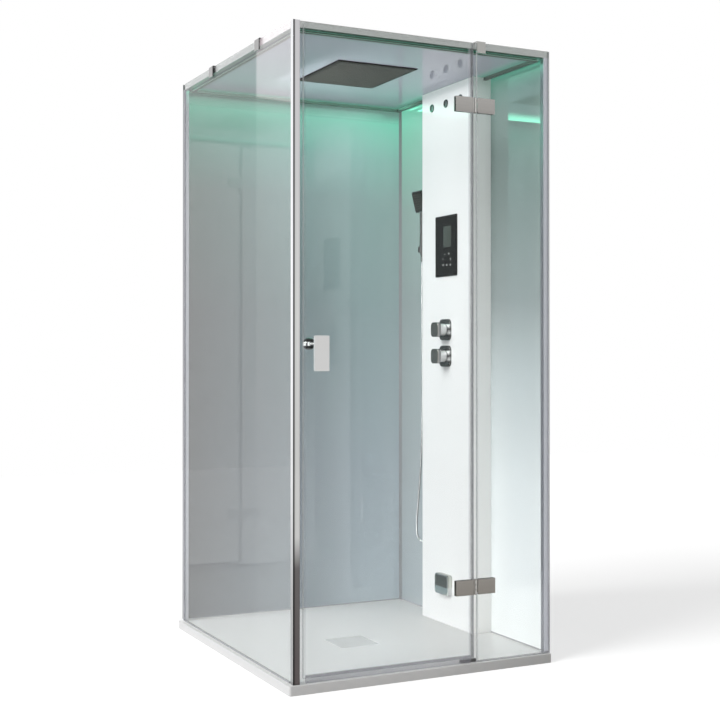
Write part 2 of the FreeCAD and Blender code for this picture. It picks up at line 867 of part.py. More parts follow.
def door_seals():
    """Seals on the door's edges, on the fixed pane's edge and on the post."""
    low = door_low
    high = rail_low - s.fit_gap
    clamp_foot = s.cabin_height + s.clamp_wall - s.clamp_height
    hinge_side_seals("fixed_edge_seal", -1, fixed_edge, s.fixed_lap, pane_low, clamp_foot - s.fit_gap)
    hinge_side_seals("door_hinge_seal", 1, door_edge, s.seal_lap, low, high)
    reach = s.magnet_gap / 2 - s.fit_gap
    magnet = edge_seal("door_magnet", -1, door_free_edge, reach, s.seal_lap, low, high)
    keep(magnet, "door_magnet_seal")
    strip = body("post_magnet_seal")
    section = sketch(strip, "post_magnet_section", "XY")
    half = s.glass_thick / 2
    polygon(section, [(ZERO, -half), (s.magnet_gap / 2, s.seal_wall - half),
                      (s.magnet_gap / 2, half - s.seal_wall), (ZERO, half)])
    pad(strip, "post_magnet_pad", section, rail_low - pane_low)
    keep(place(strip, post_inner, front_middle, pane_low), "post_magnet_seal")

    sweep = body("door_bottom_seal")
    section = sketch(sweep, "sweep_section", "YZ")
    lip = half + s.seal_wall
    fin = s.fin_thick / 2
    floor = -s.fin_height
    polygon(section, [(-fin, floor), (fin, floor), (lip, -s.seal_wall * 2), (lip, s.seal_lap),
                      (half, s.seal_lap), (half, ZERO), (-half, ZERO), (-half, s.seal_lap),
                      (-lip, s.seal_lap), (-lip, -s.seal_wall * 2)])
    start = door_free_edge + s.seal_lap + s.fit_gap
    end = door_edge - s.seal_lap - s.fit_gap
    pad(sweep, "sweep_pad", section, end - start)
    keep(place(sweep, start, front_middle, door_low), "door_bottom_seal")


# ---- clamps and stop -------------------------------------------------------------------------

def clamp(name, plane, width, at):
    """U-shaped clamp over a pane and the rail behind it, bent from one strip."""
    hook = body(name)
    section = sketch(hook, name + "_section", plane)
    wall = s.clamp_wall
    grip = s.glass_thick + s.rail_depth
    drop = wall - s.clamp_height
    inner = ceiling_low + s.ceiling_thick + s.fit_gap - s.cabin_height
    polygon(section, [(-wall, drop), (ZERO, drop), (ZERO, ZERO), (grip, ZERO), (grip, inner),
                      (grip + wall, inner), (grip + wall, wall), (-wall, wall)])
    solid = pad(hook, name + "_pad", section, width)
    along = "x" if plane == "YZ" else "y"
    top = straight_edges(solid, along, lambda p: p.z > wall.number - 0.01)
    dress(hook, "Fillet", name + "_bends", solid, top, s.clamp_corner)
    return place(hook, *at)


def clamps():
    front = s.front_clamp_width
    side = s.side_clamp_width
    top = s.cabin_height
    group("glass_clamps", [
        clamp("front_clamp", "YZ", front, (front_clamp_x - front / 2, front_face, top)),
        clamp("near_clamp", "XZ", side, (side_face, s.near_clamp_y + side / 2, top)),
        clamp("rear_clamp", "XZ", side, (side_face, s.rear_clamp_y + side / 2, top)),
    ])


def door_stop():
    """Low bar on the tray that the door's foot closes against."""
    bar = body("door_stop_bar")
    outline = sketch(bar, "stop_outline", "XY")
    rectangle(outline, (-s.stop_length, ZERO), (ZERO, s.stop_width))
    solid = pad(bar, "stop_pad", outline, s.stop_height)
    top = edges_at(solid, "z", s.stop_height)
    dress(bar, "Chamfer", "stop_edge", solid, top, s.tray_edge / 2)
    keep(place(bar, fixed_edge, front_back + s.seal_wall + s.fit_gap, s.tray_thick), "door_stop")


# ---- hinges ----------------------------------------------------------------------------------

def leaf(name, towards, knuckle_levels, centre_z):
    """Front plate, block in the notch and knuckles of one hinge leaf, towards is +1 or -1 in X."""
    near = s.leaf_setback * towards
    far = (s.leaf_setback + s.leaf_length) * towards
    tuck = s.notch_corner / 3 + s.fit_gap
    deep = (s.glass_setback + s.notch_length - tuck) * towards
    half = s.leaf_height / 2
    core = s.notch_height / 2 - tuck
    glass = s.glass_thick / 2

    def spread(a, b):
        low, high = (a, b) if towards > 0 else (b, a)
        return hinge_x + low, hinge_x + high

    front = rounded_plate(name + "_plate",
                          (hinge_x + (near + far) / 2, front_face, centre_z), "XZ",
                          s.leaf_length, s.leaf_height, s.leaf_thick, s.leaf_corner, s.leaf_corner)
    core_block = block(name + "_core", spread(near, deep), (front_middle - glass, front_middle + glass),
                       (centre_z - core, centre_z + core))
    pieces = [front, core_block]
    for number, (low, high) in enumerate(knuckle_levels):
        neck = (centre_z + max(low, -core, key=float), centre_z + min(high, core, key=float))
        pieces.append(block("%s_neck_%d" % (name, number), spread(ZERO, near),
                            (front_middle - glass, front_middle + glass), neck))
        start = (hinge_x, front_middle, centre_z + low)
        pieces.append(rod("%s_knuckle_%d" % (name, number), "z", start, s.knuckle_radius, high - low))
    bore = rod(name + "_bore", "z", (hinge_x, front_middle, centre_z - half * 2),
               s.pin_radius + s.pin_gap, s.leaf_height * 2)
    return cut(name, fuse(name + "_joined", pieces), bore)


def back_plate(name, towards, centre_z):
    """Plate that grips the pane from inside."""
    near = s.leaf_setback * towards
    far = (s.leaf_setback + s.leaf_length) * towards
    return rounded_plate(name, (hinge_x + (near + far) / 2, front_back + s.leaf_thick, centre_z),
                         "XZ", s.leaf_length, s.leaf_height, s.leaf_thick, s.leaf_corner,
                         s.leaf_corner / 2, soft="start")


def screws(name, towards, centre_z):
    """Two round screw heads on the back plate."""
    inside = front_back + s.leaf_thick
    middle = (s.leaf_setback + s.leaf_length / 2) * towards
    return [rod("%s_%d" % (name, n), "y",
                (hinge_x + middle + s.screw_spread / 2 * n, inside, centre_z),
                s.screw_radius, s.screw_rise) for n in (-1, 1)]


def hinges():
    """Glass to glass hinges: the fixed leaf holds two knuckles, the door leaf one between them."""
    inner = s.knuckle_half
    outer = s.leaf_height / 2
    gap = s.knuckle_gap
    levels = {"fixed": [(-outer, -inner - gap), (inner + gap, outer)], "door": [(-inner, inner)]}
    for side, towards in (("fixed", 1), ("door", -1)):
        leaves = []
        plates = []
        heads = []
        for place_name, height in (("low", s.low_hinge_z), ("high", high_hinge_z)):
            name = "%s_%s" % (side, place_name)
            leaves.append(leaf(name + "_leaf", towards, levels[side], height))
            plates.append(back_plate(name + "_back", towards, height))
            heads += screws(name + "_screw", towards, height)
        group(side + "_hinge_leaves", leaves)
        group(side + "_hinge_backs", plates)
        group(side + "_hinge_screws", heads)
    pins = [rod("pin_%s" % n, "z", (hinge_x, front_middle, height - outer), s.pin_radius,
                s.leaf_height) for n, height in (("low", s.low_hinge_z), ("high", high_hinge_z))]
    group("hinge_pins", pins)


# ---- door pull -------------------------------------------------------------------------------

def pull():
    """Plate outside and round knob inside, joined by a stud through the pane."""
    outside = front_face - s.pull_standoff
    plate = rounded_plate("pull_plate", (pull_x, outside, s.pull_z), "XZ", s.pull_width,
                          s.pull_height, s.pull_thick, s.pull_edge, s.pull_edge / 2)
    keep(plate, "door_pull_plate")
    stud = fuse("stud_joined", [
        rod("stud_core", "y", (stud_x, outside, s.stud_z), s.stud_radius,
            s.pull_standoff + s.glass_thick + s.washer_thick),
        rod("stud_washer_out", "y", (stud_x, front_face - s.washer_thick, s.stud_z),
            s.washer_radius, s.washer_thick),
        rod("stud_washer_in", "y", (stud_x, front_back, s.stud_z), s.washer_radius,
            s.washer_thick)])
    keep(stud, "door_pull_stud")

    inside = front_back + s.washer_thick
    ball = doc.addObject("Part::Sphere", "knob_ball")
    bind(ball, "Radius", s.knob_ball)
    place(ball, stud_x, inside + s.knob_neck + s.knob_ball, s.stud_z)
    neck = rod("knob_neck", "y", (stud_x, inside, s.stud_z), s.stud_radius + s.profile_wall,
               s.knob_neck + s.knob_ball)
    keep(fuse("knob_joined", [ball, neck]), "door_inner_knob")


# ---- column ----------------------------------------------------------------------------------

column_top = ceiling_low - s.fit_gap
low_knob_z = s.mixer_z - s.knob_pitch / 2
high_knob_z = s.mixer_z + s.knob_pitch / 2
hand_x = right_wall - s.hand_in
hand_y = s.column_far + s.hand_out
spot_z = s.cabin_height - s.spot_drop
union_y = s.column_far + s.union_out
union_top = s.union_z + s.union_nut_length


def column_shell():
    """Sheet folded round three sides, open to the wall, cut out for what it carries."""
    shell = body("column_shell")
    section = sketch(shell, "shell_section", "XY")
    wall = s.column_wall
    near, far = s.column_near, s.column_far
    polygon(section, [(right_wall, near), (column_face, near), (column_face, far),
                      (right_wall, far), (right_wall, far - wall), (behind_face, far - wall),
                      (behind_face, near + wall), (right_wall, near + wall)])
    solid = pad(shell, "shell_pad", section, column_top - s.tray_thick)
    folds = straight_edges(solid, "z", lambda p: p.x < column_face.number + 0.01)
    dress(shell, "Fillet", "shell_folds", solid, folds, s.column_fold)
    face = sketch(shell, "face_holes", "YZ", column_face)
    half_w = s.display_width / 2 - s.display_box_inset + s.fit_gap
    half_h = s.display_height / 2 - s.display_box_inset + s.fit_gap
    up = s.tray_thick
    rectangle(face, (s.display_y - half_w, s.display_y + half_w),
              (s.display_z - half_h - up, s.display_z + half_h - up))
    for height in (low_knob_z, high_knob_z):
        circle(face, s.fittings_y, height - up, s.cartridge_radius + s.fit_gap)
    for number in (-1, 0, 1):
        circle(face, s.fittings_y + s.spot_pitch * number, spot_z - up, s.spot_sleeve + s.fit_gap)
    circle(face, s.outlet_y, s.outlet_z - up, s.pipe_radius + s.fit_gap)
    pocket(shell, "face_cut", face, wall, up=True)
    side = sketch(shell, "side_holes", "XZ", far)
    circle(side, riser_x, union_top - up, s.pipe_radius + s.fit_gap)
    circle(side, hand_x, s.holder_low_z + s.holder_height / 2 - up, s.holder_arm + s.fit_gap)
    pocket(shell, "side_cut", side, wall, up=True)
    keep(place(shell, ZERO, ZERO, s.tray_thick), "column_shell")


def chassis():
    """Ladder frame against the wall, which carries the tank, mixer and shell."""
    ladder = body("column_chassis")
    outline = sketch(ladder, "chassis_outline", "YZ")
    half = s.chassis_width / 2
    rise = s.chassis_high - s.chassis_low
    rectangle(outline, (-half, half), (ZERO, rise))
    plate = pad(ladder, "chassis_plate", outline, s.chassis_thick)
    window = sketch(ladder, "chassis_window", "YZ")
    bar = s.chassis_bar
    pitch = (rise - bar) / s.chassis_rungs
    rectangle(window, (bar - half, half - bar), (bar, pitch))
    first = pocket(ladder, "chassis_window_first", window, s.chassis_thick, up=True)
    column = ladder.newObject("PartDesign::LinearPattern", "chassis_windows")
    column.Originals = [first]
    column.Direction = (window, ["V_Axis"])
    bind(column, "Length", pitch * (s.chassis_rungs - 1))
    column.Occurrences = round(float(s.chassis_rungs))
    ladder.Tip = column
    middle = (s.column_near + s.column_far) / 2
    keep(place(ladder, right_wall - s.chassis_thick, middle, s.chassis_low), "column_chassis")


def display():
    """Touch panel flat on the column's face, with its housing behind in the cut-out."""
    panel = rounded_plate("display_plate", (column_face - s.display_proud, s.display_y, s.display_z),
                          "YZ", s.display_width, s.display_height, s.display_proud,
                          s.display_edge * 3, s.display_edge / 2, soft="start")
    keep(panel, "display_panel")
    half_w = s.display_width / 2 - s.display_box_inset
    half_h = s.display_height / 2 - s.display_box_inset
    housing = block("display_box", (column_face, column_face + s.display_box_depth),
                    (s.display_y - half_w, s.display_y + half_w),
                    (s.display_z - half_h, s.display_z + half_h))
    keep(housing, "display_housing")


def spots():
    """Three small lights: a turned ring with its sleeve in the face, and a lens."""
    rings = []
    lenses = []
    for number in (-1, 0, 1):
        at = (column_face, s.fittings_y + s.spot_pitch * number, spot_z)
        ring = body("spot_ring_%d" % (number + 2))
        section = sketch(ring, "spot_section_%d" % (number + 2), "XY")
        bore = s.spot_lens + s.fit_gap
        polygon(section, [(-s.spot_proud, bore), (-s.spot_proud, s.spot_radius - s.spot_proud / 2),
                          (-s.spot_proud / 2, s.spot_radius), (ZERO, s.spot_radius),
                          (ZERO, s.spot_sleeve), (s.spot_depth, s.spot_sleeve),
                          (s.spot_depth, ZERO), (s.spot_proud, ZERO), (s.spot_proud, bore)])
        revolve(ring, "spot_turned_%d" % (number + 2), section, axis="H_Axis")
        rings.append(place(ring, *at))
        lenses.append(rod("spot_lens_%d" % (number + 2), "x", at, s.spot_lens, s.spot_proud))
    group("spot_rings", rings)
    group("spot_lenses", lenses)


# ---- mixer -----------------------------------------------------------------------------------

def rosettes():
    plates = []
    for name, height in (("low", low_knob_z), ("high", high_knob_z)):
        plate = rounded_plate("rosette_" + name,
                              (column_face - s.rosette_thick, s.fittings_y, height), "YZ",
                              s.rosette_size, s.rosette_size, s.rosette_thick, s.rosette_corner,
                              s.rosette_edge, soft="start")
        hole = rod("rosette_hole_" + name, "x",
                   (column_face - s.rosette_thick * 2, s.fittings_y, height),
                   s.spindle_radius + s.fit_gap, s.rosette_thick * 3)
        plates.append(cut("rosette_bored_" + name, plate, hole))
    group("mixer_rosettes", plates)


def mixer():
    """Brass body behind the face, two cartridges up to the rosettes, and their spindles."""
    start = mixer_front
    half_w = s.mixer_width / 2
    half_h = s.mixer_height / 2
    pieces = [block("mixer_block", (start, start + s.mixer_depth),
                    (s.fittings_y - half_w, s.fittings_y + half_w),
                    (s.mixer_z - half_h, s.mixer_z + half_h))]
    for name, height in (("low", low_knob_z), ("high", high_knob_z)):
        pieces.append(rod("cartridge_" + name, "x", (column_face, s.fittings_y, height),
                          s.cartridge_radius, start - column_face))
        reach = s.rosette_thick + s.fit_gap + s.spindle_length
        pieces.append(rod("spindle_" + name, "x", (column_face - reach, s.fittings_y, height),
                          s.spindle_radius, reach))
    for side in (-1, 1):
        arm = (s.fittings_y + half_w * side, s.fittings_y + (s.inlet_pitch / 2 + s.inlet_radius) * side)
        arm = arm if side > 0 else (arm[1], arm[0])
        pieces.append(block("inlet_arm_%d" % (side + 1), (start, start + s.mixer_depth), arm,
                            (s.mixer_z - s.inlet_radius, s.mixer_z + s.inlet_radius)))
    keep(fuse("mixer_joined", pieces), "mixer_body")
    nipples = []
    for name, side in (("cold", -1), ("hot", 1)):
        y = s.fittings_y + s.inlet_pitch / 2 * side
        first = start + s.mixer_depth
        nipples.append(fuse("inlet_" + name, [
            rod("nipple_" + name, "x", (first, y, s.mixer_z), s.inlet_radius - s.inlet_relief,
                half_width - first),
            rod("thread_" + name, "x", (half_width, y, s.mixer_z), s.inlet_radius,
                s.inlet_reach),
            rod("collar_" + name, "x", (first, y, s.mixer_z), s.inlet_collar,
                right_wall - first)]))
    group("water_inlets", nipples)


def knob(name, height):
    """Turned stem and square cap with round corners, bored for the spindle."""
    back = column_face - s.rosette_thick - s.fit_gap
    front = column_face - s.knob_reach
    cap = rounded_plate(name + "_cap", (front, s.fittings_y, height), "YZ", s.knob_cap, s.knob_cap,
                        s.knob_cap_thick, s.knob_cap_corner, s.knob_cap_edge, soft="start")
    stem = rod(name + "_stem", "x", (front + s.knob_cap_thick, s.fittings_y, height), s.knob_stem,
               back - front - s.knob_cap_thick)
    bore = rod(name + "_bore", "x", (back - s.spindle_length - s.fit_gap, s.fittings_y, height),
               s.spindle_radius + s.pin_gap, s.spindle_length + s.rosette_thick)
    return cut(name + "_bored", fuse(name + "_joined", [cap, stem]), bore)


def knobs():
    """The change-over knob, and the temperature knob with its sprung safety button."""
    keep(knob("diverter", high_knob_z), "diverter_knob")
    turned = knob("temperature", low_knob_z)
    back = column_face - s.rosette_thick - s.fit_gap
    half = s.button_size / 2
    middle = back - s.button_size
    gap = s.fit_gap
    sink = s.button_rise + s.button_travel
    socket = block("button_socket", (middle - half - gap, middle + half + gap),
                   (s.fittings_y - half - gap, s.fittings_y + half + gap),
                   (low_knob_z + s.knob_stem - sink - gap, low_knob_z + s.knob_stem + sink))
    keep(cut("temperature_pocketed", turned, socket), "temperature_knob")
    button = block("button", (middle - half, middle + half),
                   (s.fittings_y - half, s.fittings_y + half),
                   (low_knob_z + s.knob_stem - s.button_rise, low_knob_z + s.knob_stem + s.button_rise))
    keep(button, "safety_button")


# ---- pipes and steam -------------------------------------------------------------------------

def elbow_pipe(name, points):
    """Tube along runs that meet at right angles, with a bend of one radius at each corner."""
    radius = float(s.pipe_bend)
    corners = [FreeCAD.Vector(*[float(c) for c in p]) for p in points]
    edges = []
    last = corners[0]
    for before, corner, after in zip(corners, corners[1:], corners[2:]):
        inward = (before - corner).normalize()
        outward = (after - corner).normalize()
        entry = corner + inward * radius
        leave = corner + outward * radius
        centre = corner + (inward + outward) * radius
        middle = centre + (corner - centre).normalize() * radius
        edges.append(Part.LineSegment(last, entry).toShape())
        edges.append(Part.Arc(entry, middle, leave).toShape())
        last = leave
    edges.append(Part.LineSegment(last, corners[-1]).toShape())
    spine = Part.Wire(edges)
    way = (corners[1] - corners[0]).normalize()
    outer = float(s.pipe_radius)
    rings = [Part.Wire(Part.Circle(corners[0], way, r).toShape())
             for r in (outer, outer - float(s.pipe_wall))]
    walls = [spine.makePipeShell([ring], True, False) for ring in rings]
    feature = doc.addObject("Part::Feature", name)
    feature.Shape = walls[0].cut(walls[1])
    feature.Placement = FreeCAD.Placement()
    return feature


def pipes():
    """Riser over the roof to the rain head, and feed down to the hose union."""
    mixer_top = s.mixer_z + s.mixer_height / 2
    mixer_foot = s.mixer_z - s.mixer_height / 2
    roof = ceiling_low + s.roof_pipe_rise
    riser = elbow_pipe("riser_pipe", [
        (riser_x, riser_y, mixer_top), (riser_x, riser_y, roof),
        (s.rain_x + s.rain_neck + s.rain_boss, riser_y, roof)])
    feed = elbow_pipe("feed_pipe", [
        (riser_x, s.fittings_y, mixer_foot), (riser_x, s.fittings_y, union_top),
        (riser_x, s.column_far - s.column_wall, union_top)])
    group("water_pipes", [riser, feed])


def steam():
    """Tank on the chassis with its heater head, the pipe down, and the outlet's cover."""
    back = right_wall - s.chassis_thick
    tank = body("tank")
    outline = sketch(tank, "tank_outline", "YZ")
    rectangle(outline, (s.tank_near, s.tank_far), (s.tank_low, s.tank_high))
    solid = pad(tank, "tank_pad", outline, s.tank_depth)
    solid = dress(tank, "Fillet", "tank_corners", solid, straight_edges(solid, "x"), s.tank_round)
    dress(tank, "Fillet", "tank_front", solid, edges_at(solid, "x", ZERO), s.tank_round / 2)
    place(tank, back - s.tank_depth, ZERO, ZERO)
    middle = back - s.tank_depth / 2
    heater = rod("heater", "z", (middle, (s.tank_near + s.tank_far) / 2, s.tank_high),
                 s.heater_radius, s.heater_height)
    keep(fuse("generator", [tank, heater]), "steam_generator")
    pipe = elbow_pipe("outlet_pipe", [
        (middle, s.outlet_y, s.tank_low), (middle, s.outlet_y, s.outlet_z),
        (column_face - s.outlet_wall, s.outlet_y, s.outlet_z)])
    keep(pipe, "steam_pipe")

    front = column_face - s.outlet_depth
    plate = rounded_plate("outlet_plate", (front, s.outlet_y, s.outlet_z), "YZ", s.outlet_width,
                          s.outlet_height, s.outlet_depth, s.outlet_corner, s.outlet_edge,
                          soft="start")
    wall = s.outlet_wall
    half_w = s.outlet_width / 2
    half_h = s.outlet_height / 2
    hollow = block("outlet_hollow", (front + wall, column_face + wall),
                   (s.outlet_y - half_w + wall, s.outlet_y + half_w - wall),
                   (s.outlet_z - half_h + wall, s.outlet_z + half_h - wall))
    slot = block("outlet_slot", (front + wall, column_face - wall),
                 (s.outlet_y - s.outlet_slot / 2, s.outlet_y + s.outlet_slot / 2),
                 (s.outlet_z - half_h - wall, s.outlet_z - half_h + wall * 2))
    cover = cut("outlet_open", plate, fuse("outlet_cuts", [hollow, slot]))
    keep(cover, "steam_outlet_cover")


# ---- rain head -------------------------------------------------------------------------------

def rain_head():
    """Shallow housing let into the ceiling, with a flange below it and a nozzle plate."""
    def field(name, inset, low, high):
        half_x = s.rain_width / 2 - inset
        half_y = s.rain_length / 2 - inset
        return block(name, (s.rain_x - half_x, s.rain_x + half_x),
                     (s.rain_y - half_y, s.rain_y + half_y), (low, high))

    flange_low = ceiling_low - s.rain_flange
    box_top = ceiling_low + s.rain_box
    roof = ceiling_low + s.roof_pipe_rise
    wall = s.rain_wall
    pieces = [
        field("rain_flange_plate", ZERO, flange_low, ceiling_low),
        field("rain_box_block", s.rain_lap, flange_low, box_top),
        rod("rain_neck_rod", "z", (s.rain_x, riser_y, box_top), s.rain_neck,
            s.roof_pipe_rise + s.pipe_radius - s.rain_box + wall),
        rod("rain_boss_rod", "x", (s.rain_x, riser_y, roof), s.pipe_radius + wall,
            s.rain_neck + s.rain_boss),
    ]
    hollow = field("rain_hollow", s.rain_lap + wall, flange_low - wall, box_top - wall)
    keep(cut("rain_hollowed", fuse("rain_joined", pieces), hollow), "rain_head_housing")

    plate = body("nozzle_plate")
    outline = sketch(plate, "nozzle_outline", "XY")
    half_x = s.rain_width / 2 - s.rain_margin
    half_y = s.rain_length / 2 - s.rain_margin
    rectangle(outline, (-half_x, half_x), (ZERO, half_y * 2))
    pad(plate, "nozzle_plate_pad", outline, s.rain_plate)
    keep(place(plate, s.rain_x, s.rain_y - half_y, flange_low - s.rain_plate), "rain_head_plate")


# ---- hand shower -----------------------------------------------------------------------------

def cone(name, at, low_radius, high_radius, height):
    shape = doc.addObject("Part::Cone", name)
    bind(shape, "Radius1", low_radius)
    bind(shape, "Radius2", high_radius)
    bind(shape, "Height", height)
    return place(shape, *at)


def trig(function, angle):
    number = getattr(math, function)(math.radians(float(angle)))
    return Size("%s(%s)" % (function, angle.formula), number)


def tilt(thing, angle):
    """Leans an object's top towards -X."""
    thing.Placement.Rotation = FreeCAD.Rotation(FreeCAD.Vector(0, -1, 0), float(angle))
    bind(thing, "Placement.Rotation.Angle", angle)
    return thing


def hand_shower():
    """Square head on a waisted handle, which ends in the hose's cone nut."""
    waist_z = (s.nut_high_z + s.handle_top_z) / 2
    nut = cone("hand_nut", (hand_x, hand_y, s.nut_low_z), s.nut_low_radius, s.nut_high_radius,
               s.nut_high_z - s.nut_low_z)
    lower = cone("handle_lower", (hand_x, hand_y, s.nut_high_z), s.handle_radius,
                 s.handle_waist, waist_z - s.nut_high_z)
    upper = cone("handle_upper", (hand_x, hand_y, waist_z), s.handle_waist, s.handle_radius,
                 s.handle_top_z - waist_z)
    rise = s.head_height / 2 * trig("cos", s.head_tilt)
    lean = s.head_height / 2 * trig("sin", s.head_tilt)
    centre_x = hand_x - s.head_thick / 2 - lean
    centre_z = s.handle_top_z - s.head_overlap + rise
    deep = s.head_width / 2
    sine, cosine = trig("sin", s.head_tilt), trig("cos", s.head_tilt)
    trim = doc.addObject("Part::Box", "hand_trim")
    bind(trim, "Length", deep)
    bind(trim, "Width", s.head_width)
    bind(trim, "Height", s.head_height)
    place(tilt(trim, s.head_tilt), centre_x - deep * cosine + lean, hand_y - deep,
          centre_z - deep * sine - rise)
    handle = cut("handle_trimmed", fuse("handle_joined", [nut, lower, upper]), trim)
    head = tilt(rounded_plate("hand_head", (centre_x, hand_y, centre_z), "YZ", s.head_width,
                              s.head_height, s.head_thick, s.head_corner, s.face_thick,
                              soft="end"), s.head_tilt)
    place(head, centre_x, hand_y, centre_z)
    keep(fuse("handset_joined", [handle, head]), "handset_body")
    face = tilt(rounded_plate("hand_face", (centre_x, hand_y, centre_z), "YZ",
                              s.head_width - s.face_margin * 2, s.head_height - s.face_margin * 2,
                              s.face_thick, s.head_corner - s.face_margin, s.face_thick / 4,
                              soft="start"), s.head_tilt)
    place(face, centre_x - s.face_thick * cosine, hand_y, centre_z - s.face_thick * sine)
    keep(face, "handset_face")


def holder():
    """Plate and arm on the column's side, and a slotted cone ring that takes the nut."""
    slope = (s.nut_high_radius - s.nut_low_radius) / (s.nut_high_z - s.nut_low_z)
    low_bore = s.nut_low_radius + slope * (s.holder_low_z - s.nut_low_z) + s.fit_gap
    high_bore = low_bore + slope * s.holder_height
    outside = high_bore + s.holder_wall
    middle_z = s.holder_low_z + s.holder_height / 2
    inside_wall = s.column_far - s.column_wall
    plate = rod("holder_plate", "y", (hand_x, s.column_far, middle_z), s.holder_plate,
                s.holder_plate_thick)
    arm = rod("holder_arm", "y", (hand_x, inside_wall, middle_z), s.holder_arm,
              hand_y - inside_wall - high_bore)
    ring = rod("holder_ring", "z", (hand_x, hand_y, s.holder_low_z), outside, s.holder_height)
    bore = cone("holder_bore", (hand_x, hand_y, s.holder_low_z), low_bore, high_bore,
                s.holder_height)
    slot = block("holder_slot", (hand_x - outside * 2, hand_x),
                 (hand_y - s.holder_slot / 2, hand_y + s.holder_slot / 2),
                 (s.holder_low_z - s.holder_wall, s.holder_low_z + s.holder_height * 2))
    solid = cut("holder_open", fuse("holder_joined", [plate, arm, ring]),
                fuse("holder_cuts", [bore, slot]))
    keep(solid, "handset_holder")


def hose():
    """Union on the column's side, and the hose as one tube of straight runs and arcs."""
    ball = doc.addObject("Part::Sphere", "union_ball")
    bind(ball, "Radius", s.union_nut_radius)
    place(ball, riser_x, union_y, union_top)
    inside_wall = s.column_far - s.column_wall
    union = fuse("union_joined", [
        ball,
        rod("union_plate", "y", (riser_x, s.column_far, union_top), s.union_plate, s.column_wall),
        rod("union_stub", "y", (riser_x, inside_wall, union_top), s.pipe_radius,
            union_y - inside_wall),
        rod("union_nut", "z", (riser_x, union_y, s.union_z), s.union_nut_radius,
            s.union_nut_length)])
    keep(union, "hose_union")

    start = FreeCAD.Vector(float(riser_x), float(union_y), float(s.union_z))
    end = FreeCAD.Vector(float(hand_x), float(hand_y), float(s.nut_low_z))
    points = [start + FreeCAD.Vector(*p) for p in HOSE_DOWN]
    points += [end + FreeCAD.Vector(*p) for p in HOSE_UP]
    radii = []
    edges = []
    last = points[0]
    for before, corner, after in zip(points, points[1:], points[2:]):
        back = before - corner
        ahead = after - corner
        shorter = min(back.Length, ahead.Length)
        half_turn = (math.pi - back.getAngle(ahead)) / 2
        reach = 0.45 * shorter
        radii.append(reach / math.tan(half_turn))
        back.normalize()
        ahead.normalize()
        bisector = (back + ahead).normalize()
        centre = corner + bisector * math.hypot(reach, radii[-1])
        entry = corner + back * reach
        leave = corner + ahead * reach
        middle = centre - bisector * radii[-1]
        edges.append(Part.LineSegment(last, entry).toShape())
        edges.append(Part.Arc(entry, middle, leave).toShape())
        last = leave
    edges.append(Part.LineSegment(last, points[-1]).toShape())
    spine = Part.Wire(edges)
    ring = Part.Wire(Part.Circle(points[0], points[1] - points[0], float(s.hose_radius)).toShape())
    tube = doc.addObject("Part::Feature", "hose_tube")
    tube.Shape = spine.makePipeShell([ring], True, False)
    tube.Placement = FreeCAD.Placement()
    expected = math.pi * float(s.hose_radius) ** 2 * spine.Length
    print("hose length %.0f, volume ratio %.4f" % (spine.Length, tube.Shape.Volume / expected))
    print("hose radii", [round(r) for r in radii])
    keep(tube, "shower_hose")


def check():
    """Stops where an object failed or a sub-part has no valid solid."""
    for thing in doc.Objects:
        if {"Invalid", "Error"} & set(thing.State):
            raise SystemExit("failed: %s %s" % (thing.Name, thing.State))
    for part in PARTS:
        if part.Shape.isNull() or not part.Shape.isValid() or not part.Shape.Solids:
            raise SystemExit("no valid solid: " + part.Label)


def build():
    shower_tray()
    waste()
    uprights()
    rails()
    ceiling()
    cornice()
    walls()
    panes()
    sill_seals()
    door_seals()
    clamps()
    door_stop()
    hinges()
    pull()
    column_shell()
    chassis()
    display()
    spots()
    rosettes()
    mixer()
    knobs()
    pipes()
    steam()
    rain_head()
    hand_shower()
    holder()
    hose()


build()
doc.recompute()
check()
os.makedirs("parts", exist_ok=True)
for part in PARTS:
    part.Shape.exportStep("parts/%s.step" % part.Label)
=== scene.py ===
import math

import bmesh
import bpy
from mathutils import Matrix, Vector


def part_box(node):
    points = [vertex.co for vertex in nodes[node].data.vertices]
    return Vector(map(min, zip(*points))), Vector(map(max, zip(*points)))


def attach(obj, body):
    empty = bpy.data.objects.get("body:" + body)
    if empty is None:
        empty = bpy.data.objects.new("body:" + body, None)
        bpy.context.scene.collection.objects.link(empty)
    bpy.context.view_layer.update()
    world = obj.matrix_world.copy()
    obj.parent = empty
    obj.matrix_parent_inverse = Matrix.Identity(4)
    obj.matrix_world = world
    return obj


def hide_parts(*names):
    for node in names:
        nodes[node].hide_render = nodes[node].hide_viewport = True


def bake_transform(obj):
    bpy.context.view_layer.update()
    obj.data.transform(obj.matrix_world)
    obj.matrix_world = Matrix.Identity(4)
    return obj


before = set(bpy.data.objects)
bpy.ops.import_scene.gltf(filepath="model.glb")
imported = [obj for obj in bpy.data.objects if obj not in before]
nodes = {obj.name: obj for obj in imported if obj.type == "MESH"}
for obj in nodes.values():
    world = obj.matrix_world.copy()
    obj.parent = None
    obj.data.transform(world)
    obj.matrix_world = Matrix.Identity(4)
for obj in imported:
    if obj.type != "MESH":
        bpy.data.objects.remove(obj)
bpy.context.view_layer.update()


# ---- camera ----------------------------------------------------------------------------------
# Stands at waist height, in front of the cabin and to its left, as a photographer in a showroom
# would.

